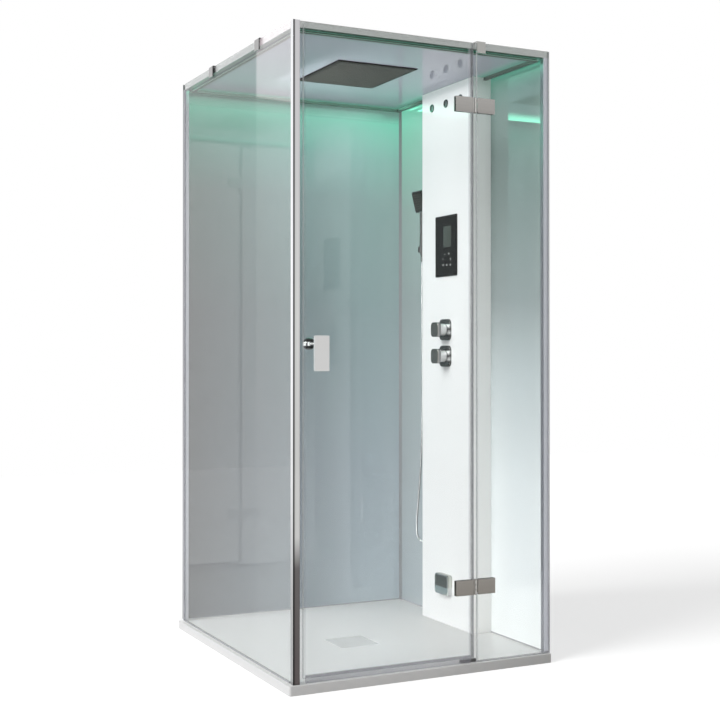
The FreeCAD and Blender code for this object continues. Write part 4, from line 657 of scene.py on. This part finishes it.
def polished(name, facing, edge, roughness):
    """Chrome painted with one tone face on and another towards its edges, as painted reflections of
    the room.
    """
    made, tree, shader = material(name, facing, roughness, 1.0)
    lines = use_group(tree, worn, shader, Roughness=roughness, Scale=40.0, Colour_change=0.08,
                      Roughness_change=0.05)
    weight = add(tree, "ShaderNodeLayerWeight", ("Blend", 0.35)).outputs["Facing"]
    tree.links.new(blend_colour(tree, weight, (*facing, 1), (*edge, 1)), lines.inputs["Colour"])
    return made


# The chrome copies differ only in their painted reflection tones; the hand shower's copy is painted
# darker, as painted shade.
chrome = polished("bright_chrome", (0.30, 0.30, 0.295), (0.92, 0.92, 0.92), 0.05)
plate_chrome = polished("pull_chrome", (0.58, 0.58, 0.575), (0.85, 0.85, 0.86), 0.08)
hinge_chrome = polished("hinge_chrome", (0.30, 0.30, 0.295), (0.92, 0.92, 0.92), 0.06)
bright_in_mirrors(hinge_chrome)
shaded_chrome = polished("shaded_chrome", (0.17, 0.172, 0.17), (0.50, 0.51, 0.50), 0.08)
paint(chrome, "safety_button", "hose_union")
paint(hinge_chrome, "fixed_hinge_screws", "door_hinge_screws", "hinge_pins")
paint(shaded_chrome, "handset_body", "handset_holder")
paint(plate_chrome, "door_pull_plate")


def banded(name, roughness, *bands):
    """Chrome whose bands along one axis are painted reflections of the dark and the bright of the
    room.
    """
    made, tree, shader = material(name, (0.5, 0.5, 0.5), roughness, 1.0)
    lines = use_group(tree, worn, shader, Roughness=roughness, Scale=40.0, Colour_change=0.06,
                      Roughness_change=0.04)
    colour = None
    for axis, low, high, stops in bands:
        step = axis_ramp(tree, axis, low, high, *stops)
        colour = step if colour is None else multiply(tree, colour, step)
    tree.links.new(colour, lines.inputs["Colour"])
    return made


# The bands below are painted reflections and highlights on the ball, knobs, rosettes and steam
# cover.
BLACK = (0.02, 0.022, 0.022)
ball_chrome = banded("ball_chrome", 0.04, ("Z", 1.094, 1.138, (
    (1.096, (0.35, 0.36, 0.36)), (1.102, BLACK), (1.108, BLACK), (1.1105, 0.95), (1.121, 0.98),
    (1.1225, BLACK), (1.130, 0.06), (1.136, 0.5))))
paint(ball_chrome, "door_inner_knob", "door_pull_stud")
knob_chrome = banded("knob_chrome", 0.07, ("X", 0.355, 0.410, (
    (0.3595, (0.33, 0.32, 0.30)), (0.3605, (0.31, 0.30, 0.28)), (0.3620, 0.62), (0.370, 0.35),
    (0.3735, 0.55), (0.376, 1.0), (0.398, 0.95), (0.403, 0.5))))
tree = knob_chrome.node_tree
satin_stem = axis_ramp(tree, "X", 0.355, 0.410, (0.3730, 0.07), (0.3760, 0.6))
finish = next(node for node in tree.nodes if node.type == "GROUP")
tree.links.new(satin_stem, finish.inputs["Roughness"])
paint(knob_chrome, "diverter_knob", "temperature_knob")
rosette_chrome = banded("rosette_chrome", 0.05, ("Z", 1.030, 1.222, (
    (1.034, (0.22, 0.22, 0.21)), (1.052, 0.10), (1.062, 0.75), (1.076, 0.05), (1.092, 0.80),
    (1.102, (0.16, 0.16, 0.155)), (1.125, (0.24, 0.24, 0.235)), (1.137, (0.22, 0.22, 0.21)),
    (1.155, 0.10), (1.165, 0.75), (1.179, 0.05), (1.195, 0.80), (1.205, (0.16, 0.16, 0.155)),
    (1.217, (0.24, 0.24, 0.235)))))
paint(rosette_chrome, "mixer_rosettes")
steam_chrome = banded("steam_chrome", 0.04, ("Z", 0.140, 0.230, (
    (0.146, (0.85, 0.92, 0.89)), (0.176, (0.74, 0.84, 0.80)), (0.180, (0.34, 0.35, 0.32)),
    (0.228, (0.27, 0.28, 0.26)))), ("X", 0.390, 0.413, (
    (0.3925, 1), (0.3945, 0.4), (0.396, 2.7), (0.408, 2.9), (0.4115, 1.6))))
paint(steam_chrome, "steam_outlet_cover")
smoked = worn_finish("smoked_chrome", (0.16, 0.16, 0.16), 0.12, 1.0, 80.0, (0.2, 0.1))
paint(smoked, "spot_rings")


# ---- column ----------------------------------------------------------------------------------
# Folded aluminium sheet with a white baked enamel, as flat and glossy as a tile. Its colour carries
# painted light: darker low down, lighter towards the top and on its sides. The walls and the
# ceiling mirror it darker than it is, as painted shade in its mirror images.

enamel, tree, shader = material("white_enamel", (0.80, 0.815, 0.81), 0.12, IOR=1.5)
lines = use_group(tree, worn, shader, Roughness=0.12, Scale=300.0, Colour_change=0.02,
                  Roughness_change=0.08)
# Painted light and shade: the enamel is painted darker low down and lighter towards the top, and
# its sides lighter than its face.
column_height_light = axis_ramp(tree, "Z", 0.0, 2.13, (0.1, (0.77, 0.775, 0.775)),
                        (1.2, (0.80, 0.81, 0.81)), (2.1, (0.85, 0.86, 0.86)))
column_side_light = axis_ramp(tree, "Y", -0.174, -0.166, (-0.1715, (1.14, 1.13, 1.11)), (-0.170, 1))
column_light_tone = multiply(tree, column_height_light, column_side_light)
shade = axis_ramp(tree, "Z", 0.0, 2.13, (0.5, 0.62), (0.9, 0.60), (1.3, 0.38), (1.7, 0.36),
                  (1.85, 0.25), (1.94, 0.72))
tree.links.new(blend_colour(tree, mirror_rays(tree), column_light_tone, multiply(tree, column_light_tone, shade)),
               lines.inputs["Colour"])
paint(enamel, "column_shell")


# ---- display ---------------------------------------------------------------------------------
# Black touch glass bonded to its housing. Its window and touch marks stand a hair proud of the
# glass; each mark is a fine printed ring or bar.

touch_black = worn_finish("touch_glass", (0.012, 0.012, 0.012), 0.08, 0.0, 25.0, (0.2, 0.05),
                          IOR=1.22)
paint(touch_black, "display_panel")


def new_piece(name, finish, body):
    """Names the active mesh, bakes its place into it, paints it and hangs it on its body."""
    piece = bpy.context.object
    bpy.ops.object.transform_apply(location=True, rotation=True, scale=True)
    piece.name = name
    piece.data.name = name
    piece.data.materials.clear()
    piece.data.materials.append(finish)
    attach(piece, body)


def apply_modifier(kind, **settings):
    modifier = bpy.context.object.modifiers.new(kind.lower(), kind)
    for key, value in settings.items():
        setattr(modifier, key, value)
    bpy.ops.object.modifier_apply(modifier=modifier.name)


def block(low, high, edge, segments=2):
    """A cuboid between two corners, with every edge rounded."""
    deselect()
    bpy.ops.mesh.primitive_cube_add(size=1, location=[(a + b) / 2 for a, b in zip(low, high)],
                                    scale=[b - a for a, b in zip(low, high)])
    bpy.ops.object.transform_apply(location=False, rotation=False, scale=True)
    apply_modifier("BEVEL", width=edge, segments=segments)
    bpy.ops.object.shade_smooth_by_angle(angle=math.radians(40))


def join_new(name, makers, finish, body):
    """Runs each maker, which leaves its shape active, and joins the shapes into one piece."""
    made = []
    for maker in makers:
        maker()
        made.append(bpy.context.object)
    deselect()
    for part in made:
        part.select_set(True)
    bpy.context.view_layer.objects.active = made[0]
    bpy.ops.object.join()
    new_piece(name, finish, body)


GLASS_FACE = 0.408
MARK_BACK = GLASS_FACE - 0.0004
MARK_FRONT = GLASS_FACE + 0.0006
window_glass = worn_finish("display_window", (0.06, 0.072, 0.064), 0.18, 0.0, 60.0, (0.1, 0.1),
                           IOR=1.3)
block((MARK_BACK, -0.018, 1.499), (MARK_FRONT, 0.040, 1.581), 0.0003)
new_piece("display_window", window_glass, "cabin")
mark_white = worn_finish("touch_mark", (0.62, 0.62, 0.60), 0.4, 0.0, 60.0, (0.1, 0.1))
RING_RADIUS = 0.0029
RING_LINE = 0.0008
TOUCH_RINGS = ((0.0425, 1.4305), (0.0146, 1.4295), (-0.0137, 1.4285))
TOUCH_BARS = ((-0.0137, 1.4510, 0.0030, 0.0085), (-0.0015, 1.4728, 0.0060, 0.0060),
              (0.0293, 1.4715, 0.0075, 0.0016), (0.0440, 1.4549, 0.0016, 0.0075))


def touch_ring(y, z):
    deselect()
    bpy.ops.mesh.primitive_torus_add(location=(GLASS_FACE, y, z), rotation=(0, math.pi / 2, 0),
                                     major_radius=RING_RADIUS, minor_radius=RING_LINE,
                                     major_segments=20, minor_segments=6)


def touch_bar(y, z, wide, post_height_shade):
    block((MARK_BACK, y - wide / 2, z - post_height_shade / 2), (MARK_FRONT, y + wide / 2, z + post_height_shade / 2),
          0.0002, 1)


join_new("touch_marks", [lambda m=m: touch_ring(*m) for m in TOUCH_RINGS] +
         [lambda m=m: touch_bar(*m) for m in TOUCH_BARS], mark_white, "cabin")


# ---- spots -----------------------------------------------------------------------------------
# A smoky lens in each ring.

smoky = worn_finish("smoky_lens", (0.10, 0.12, 0.12), 0.15, 0.0, 200.0, (0.3, 0.2), IOR=1.5)
paint(smoky, "spot_lenses")


# ---- water and steam parts inside the column -------------------------------------------------
# Brass castings and copper tube, dull from handling.

brass = worn_finish("cast_brass", (0.62, 0.45, 0.20), 0.38, 1.0, 160.0, (0.3, 0.2))
paint(brass, "mixer_body", "water_inlets")
copper = worn_finish("copper_tube", (0.70, 0.36, 0.24), 0.3, 1.0, 60.0, (0.3, 0.2))
paint(copper, "water_pipes", "steam_pipe")


# ---- rain head -------------------------------------------------------------------------------
# Dark bronze housing with a nozzle plate, drilled in a close square grid.

NOZZLE_PITCH = 0.012
DOT_CORE = 0.0024
DOT_RIM = 0.0032
PLATE_BLACK = (0.018, 0.018, 0.016, 1)
DOT_GREY = (0.20, 0.20, 0.18, 1)
head_metal, tree, shader = material("dark_head", (0.03, 0.03, 0.025), 0.45, IOR=1.2,
                                   Specular_IOR_Level=0.2)
place = add(tree, "ShaderNodeTexCoord").outputs["Object"]
wrapped = add(tree, "ShaderNodeVectorMath", (0, place), (1, (NOZZLE_PITCH,) * 3), (2, (0, 0, 0)),
              operation="WRAP").outputs[0]
flat = add(tree, "ShaderNodeVectorMath", (0, wrapped), (1, (1, 1, 0)),
           operation="MULTIPLY").outputs[0]
reach = add(tree, "ShaderNodeVectorMath", (0, flat), (1, (NOZZLE_PITCH / 2, NOZZLE_PITCH / 2, 0)),
            operation="DISTANCE").outputs["Value"]
dot = add(tree, "ShaderNodeMapRange", ("Value", reach), ("From Min", DOT_CORE),
          ("From Max", DOT_RIM), ("To Min", 1.0), ("To Max", 0.0)).outputs[0]
dot = math_node(tree, "MULTIPLY", dot, face_below(tree, "rain_head_plate"))
tree.links.new(blend_colour(tree, dot, PLATE_BLACK, DOT_GREY), shader.inputs["Base Color"])
bump = add(tree, "ShaderNodeBump", ("Height", dot), ("Strength", 0.5), ("Distance", 0.001))
tree.links.new(bump.outputs[0], shader.inputs["Normal"])
paint(head_metal, "rain_head_housing", "rain_head_plate")


# ---- hand shower face ------------------------------------------------------------------------
# Soft dark nozzle plate set into the square head.

soft_face = worn_finish("nozzle_face", (0.018, 0.02, 0.017), 0.5, 0.0, 300.0, (0.4, 0.2), IOR=1.3)
paint(soft_face, "handset_face")


# ---- spray nozzles ---------------------------------------------------------------------------
# Short silicone nipples, moulded in rows, that stand out of the rain head's plate and the hand
# shower's face.

NOZZLE_SINK = 0.0002
TIP_INSET = 0.35
TIP_LENGTH = 0.3
nipple = worn_finish("silicone_nipple", (0.15, 0.15, 0.135), 0.55, 0.0, 200.0, (0.2, 0.1))


def nozzle(radius, height):
    """One blunt nipple on the XY plane, its tip towards -Z."""
    deselect()
    bpy.ops.mesh.primitive_cylinder_add(vertices=8, radius=radius, depth=height,
                                        location=(0, 0, -height / 2))
    bpy.ops.object.transform_apply(location=True, rotation=True, scale=True)
    bpy.ops.object.mode_set(mode="EDIT")
    bpy.ops.mesh.select_all(action="DESELECT")
    form = bmesh.from_edit_mesh(bpy.context.object.data)
    for face in form.faces:
        face.select = face.normal.z < -0.9
    bmesh.update_edit_mesh(bpy.context.object.data)
    bpy.ops.mesh.inset(thickness=radius * TIP_INSET)
    bpy.ops.transform.translate(value=(0, 0, -height * TIP_LENGTH))
    bpy.ops.object.mode_set(mode="OBJECT")


def nozzle_field(columns, rows, pitch, radius, height):
    """A centred field of nipples on the XY plane."""
    nozzle(radius, height)
    for count, step in ((columns, (pitch, 0, 0)), (rows, (0, pitch, 0))):
        apply_modifier("ARRAY", count=count, use_relative_offset=False, use_constant_offset=True,
                       constant_offset_displace=step)
    field = bpy.context.object
    centre = Vector(((columns - 1) * pitch / 2, (rows - 1) * pitch / 2, 0))
    for vertex in field.data.vertices:
        vertex.co -= centre
    return field


plate_low, plate_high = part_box("rain_head_plate")
field = nozzle_field(columns=24, rows=28, pitch=NOZZLE_PITCH, radius=0.0032, height=0.0012)
field.location = ((plate_low.x + plate_high.x) / 2, (plate_low.y + plate_high.y) / 2,
                  plate_low.z + NOZZLE_SINK)
activate(field)
new_piece("rain_nozzles", nipple, "cabin")

face_mesh = nodes["handset_face"].data
spray = max((f for f in face_mesh.polygons if f.normal.x < -0.5), key=lambda f: f.area)
spray_way = Vector(spray.normal)
face_low, face_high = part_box("handset_face")
face_points = [v.co for v in face_mesh.vertices]
spray_top = max(p.dot(spray_way) for p in face_points)
face_centre = (Vector(face_low) + Vector(face_high)) / 2
face_centre += spray_way * (spray_top - face_centre.dot(spray_way))
field = nozzle_field(columns=7, rows=7, pitch=0.0094, radius=0.0018, height=0.0010)
across_face = Vector((0, 1, 0))
up_face = spray_way.cross(across_face).normalized()
for vertex in field.data.vertices:
    outwards = spray_way * (-vertex.co.z - NOZZLE_SINK)
    vertex.co = face_centre + across_face * vertex.co.x + up_face * vertex.co.y + outwards
activate(field)
bpy.ops.object.mode_set(mode="EDIT")
bpy.ops.mesh.select_all(action="SELECT")
bpy.ops.mesh.normals_make_consistent(inside=False)
bpy.ops.object.mode_set(mode="OBJECT")
new_piece("hand_nozzles", nipple, "handset")


# ---- hinge side lips -------------------------------------------------------------------------
# The door's hinge side seal ends in two flat lips on the outside of the glass: a dark one that
# hides the glass edge's grinding, and a milky one beside it.

LIP_FRONT = -0.5463
LIP_BACK = -0.5456
LIP_LENGTHS = ((0.050, 0.262), (0.314, 1.908), (1.960, 2.126))
DARK_LIP_SIDES = (0.1752, 0.1812)
MILKY_LIP_SIDES = (0.1670, 0.1750)


def lip(x_low, x_high):
    """A lip in three lengths, which stop at the two hinges' leaves."""
    return [lambda a=a, b=b: block((x_low, LIP_FRONT, a), (x_high, LIP_BACK, b), 0.0002, 1)
            for a, b in LIP_LENGTHS]


dark_lip = drawn_finish("dark_lip", (0.10, 0.11, 0.12), 0.3, 0.0, ALONG_Z, (0.3, 0.1), Alpha=0.15)
milky_lip = drawn_finish("milky_lip", (0.62, 0.62, 0.68), 0.3, 0.0, ALONG_Z, (0.2, 0.1), Alpha=0.2)
join_new("dark_edge_lip", lip(*DARK_LIP_SIDES), dark_lip, "door")
join_new("milky_edge_lip", lip(*MILKY_LIP_SIDES), milky_lip, "door")


# ---- hose ferrules ---------------------------------------------------------------------------
# Turned brass sleeves under chrome that crimp the hose's ends, each with two rolled grooves.

FERRULE_RADIUS = 0.0064
GROOVES = (0.33, 0.67)
GROOVE_WIDTH = 0.16
GROOVE_FLOOR = 0.88


def round_turned(width):
    """Rounds the rims of a turned piece and smooths its shading."""
    apply_modifier("BEVEL", width=width, segments=2, limit_method="ANGLE",
                   angle_limit=math.radians(50))
    bpy.ops.object.shade_smooth_by_angle(angle=math.radians(35))


def ferrule(name, x, y, low, high, body):
    deselect()
    bpy.ops.mesh.primitive_cylinder_add(vertices=28, radius=FERRULE_RADIUS, depth=high - low,
                                        location=(x, y, (low + high) / 2))
    bpy.ops.object.transform_apply(location=True, rotation=True, scale=True)
    bpy.ops.object.mode_set(mode="EDIT")
    for groove in GROOVES:
        for share in (groove - GROOVE_WIDTH / 2, groove, groove + GROOVE_WIDTH / 2):
            bpy.ops.mesh.select_all(action="SELECT")
            bpy.ops.mesh.bisect(plane_co=(x, y, low + (high - low) * share), plane_no=(0, 0, 1))
    form = bmesh.from_edit_mesh(bpy.context.object.data)
    for vertex in form.verts:
        share = (vertex.co.z - low) / (high - low)
        if min(abs(share - groove) for groove in GROOVES) < GROOVE_WIDTH / 4:
            vertex.co.x = x + (vertex.co.x - x) * GROOVE_FLOOR
            vertex.co.y = y + (vertex.co.y - y) * GROOVE_FLOOR
    bmesh.update_edit_mesh(bpy.context.object.data)
    bpy.ops.object.mode_set(mode="OBJECT")
    round_turned(0.0005)
    new_piece(name, ferrule_chrome, body)


# The ferrules' dark chrome tones are painted reflections.
ferrule_chrome = polished("ferrule_chrome", (0.10, 0.105, 0.10), (0.45, 0.45, 0.45), 0.12)
ferrule("union_ferrule", 0.455, 0.240, 0.612, 0.640, "cabin")
ferrule("handset_ferrule", 0.437, 0.262, 1.459, 1.486, "handset")


# ---- hinge barrels ---------------------------------------------------------------------------
# A turned sleeve of three rings in front of each hinge's pin, between the fixed leaf and the
# door's leaf.

BARREL_AXIS = (0.194, -0.5456)
BARREL_RADIUS = 0.0035
RING_HEIGHT = 0.0150
RING_STEP = 0.0168
HINGE_HEIGHTS = (0.288, 1.934)
# The barrels are painted bright face on and dark towards their edges, as painted reflections, with
# a painted glow in mirror images.
barrel_chrome = polished("barrel_chrome", (0.80, 0.80, 0.78), (0.12, 0.12, 0.12), 0.1)
bright_in_mirrors(barrel_chrome)


def barrel_ring(z):
    deselect()
    bpy.ops.mesh.primitive_cylinder_add(vertices=24, radius=BARREL_RADIUS, depth=RING_HEIGHT,
                                        location=(*BARREL_AXIS, z))
    bpy.ops.object.transform_apply(location=True, rotation=True, scale=True)
    round_turned(0.0009)


join_new("hinge_barrels", [lambda z=z + step: barrel_ring(z) for z in HINGE_HEIGHTS
                           for step in (-RING_STEP, 0.0, RING_STEP)],
         barrel_chrome, "cabin")


# ---- steam cover bezel -----------------------------------------------------------------------
# A polished bead round the steam cover's mirror face.

# The bead's bright chrome tones are painted reflections.
bezel_chrome = polished("bezel_chrome", (0.75, 0.78, 0.77), (0.95, 0.95, 0.95), 0.06)
COVER_MARGIN = 0.001
CORNER_ROUND = 0.013
BEAD_WIDTH = 0.0026
BEAD_DEPTH = 0.0006
BEAD_HEIGHT = 0.0016
cover_low, cover_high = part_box("steam_outlet_cover")
deselect()
bpy.ops.mesh.primitive_plane_add(size=1, rotation=(0, -math.pi / 2, 0), location=(
    cover_low.x + BEAD_DEPTH, (cover_low.y + cover_high.y) / 2, (cover_low.z + cover_high.z) / 2))
bead = bpy.context.object
bead.scale = (cover_high.z - cover_low.z - 2 * COVER_MARGIN,
              cover_high.y - cover_low.y - 2 * COVER_MARGIN, 1)
bpy.ops.object.transform_apply(location=True, rotation=True, scale=True)
bpy.ops.object.mode_set(mode="EDIT")
bpy.ops.mesh.select_all(action="SELECT")
bpy.ops.mesh.bevel(offset=CORNER_ROUND, segments=5, affect="VERTICES")
bpy.ops.mesh.select_all(action="SELECT")
bpy.ops.mesh.inset(thickness=BEAD_WIDTH)
bpy.ops.mesh.delete(type="FACE")
bpy.ops.mesh.select_all(action="SELECT")
bpy.ops.mesh.extrude_region_move(TRANSFORM_OT_translate={"value": (-BEAD_HEIGHT, 0, 0)})
bpy.ops.mesh.select_all(action="SELECT")
bpy.ops.mesh.normals_make_consistent(inside=False)
bpy.ops.object.mode_set(mode="OBJECT")
new_piece("steam_bezel", bezel_chrome, "cabin")


# ---- studio ----------------------------------------------------------------------------------
# Seamless white floor and backdrop, soft daylight from the left, an even fill, and two soft panels
# that light the cabin from inside.

def seen_directly(tree):
    """1 to the eye, in mirrors and through glass, and 0 to what the studio lights."""
    rays = add(tree, "ShaderNodeLightPath").outputs
    through = math_node(tree, "MAXIMUM", rays["Is Glossy Ray"], rays["Is Transmission Ray"])
    return math_node(tree, "MAXIMUM", rays["Is Camera Ray"], through)


FLOOR_SIZE = 14
FLOOR_GLOW = 0.50
AMBIENT = 0.40
SUN_ENERGY = 2.4
SUN_SOFTNESS = math.radians(35)
SUN_WAY = Vector((0.80, 0.10, -0.50))
deselect()
bpy.ops.mesh.primitive_plane_add(size=FLOOR_SIZE, location=(0, 0, 0))
floor = bpy.context.object
floor.name = "studio_floor"
bpy.ops.object.transform_apply(location=True, rotation=True, scale=True)
white, tree, shader = material("studio_floor", (0.66, 0.66, 0.66), 0.9)
shader.inputs["Emission Strength"].default_value = FLOOR_GLOW
tree.links.new(blend_colour(tree, seen_directly(tree), (0, 0, 0, 1), (1, 1, 1, 1)),
               shader.inputs["Emission Color"])
floor.data.materials.append(white)

world = bpy.data.worlds.new("studio_world")
world.use_nodes = True
bpy.context.scene.world = world
tree = world.node_tree
strength = math_node(tree, "MULTIPLY_ADD", seen_directly(tree), 1.0 - AMBIENT, AMBIENT)
background = tree.nodes["Background"]
background.inputs["Color"].default_value = (1, 1, 1, 1)
tree.links.new(strength, background.inputs["Strength"])

daylight = bpy.data.lights.new("daylight", "SUN")
daylight.energy = SUN_ENERGY
daylight.angle = SUN_SOFTNESS
sun = bpy.data.objects.new("daylight", daylight)
sun.rotation_euler = SUN_WAY.to_track_quat("-Z", "Y").to_euler()
bpy.context.scene.collection.objects.link(sun)


def cabin_lamp(name, size, energy, location, towards):
    """A soft panel that lights the cabin's inside and is never seen itself."""
    data = bpy.data.lights.new(name, "AREA")
    data.shape = "RECTANGLE"
    data.size, data.size_y = size
    data.energy = energy
    lamp = bpy.data.objects.new(name, data)
    lamp.location = location
    lamp.rotation_euler = Vector(towards).to_track_quat("-Z", "Y").to_euler()
    for ray in ("camera", "glossy", "transmission"):
        setattr(lamp, "visible_" + ray, False)
    bpy.context.scene.collection.objects.link(lamp)


cabin_lamp("ceiling_lamp", size=(0.75, 0.90), energy=2.6, location=(0.0, 0.0, 2.11),
           towards=(0, 0, -1))
cabin_lamp("column_lamp", size=(0.36, 0.36), energy=1.5, location=(-0.25, 0.02, 1.86),
           towards=(1, 0, -0.04))

bpy.context.scene.view_settings.view_transform = "Standard"
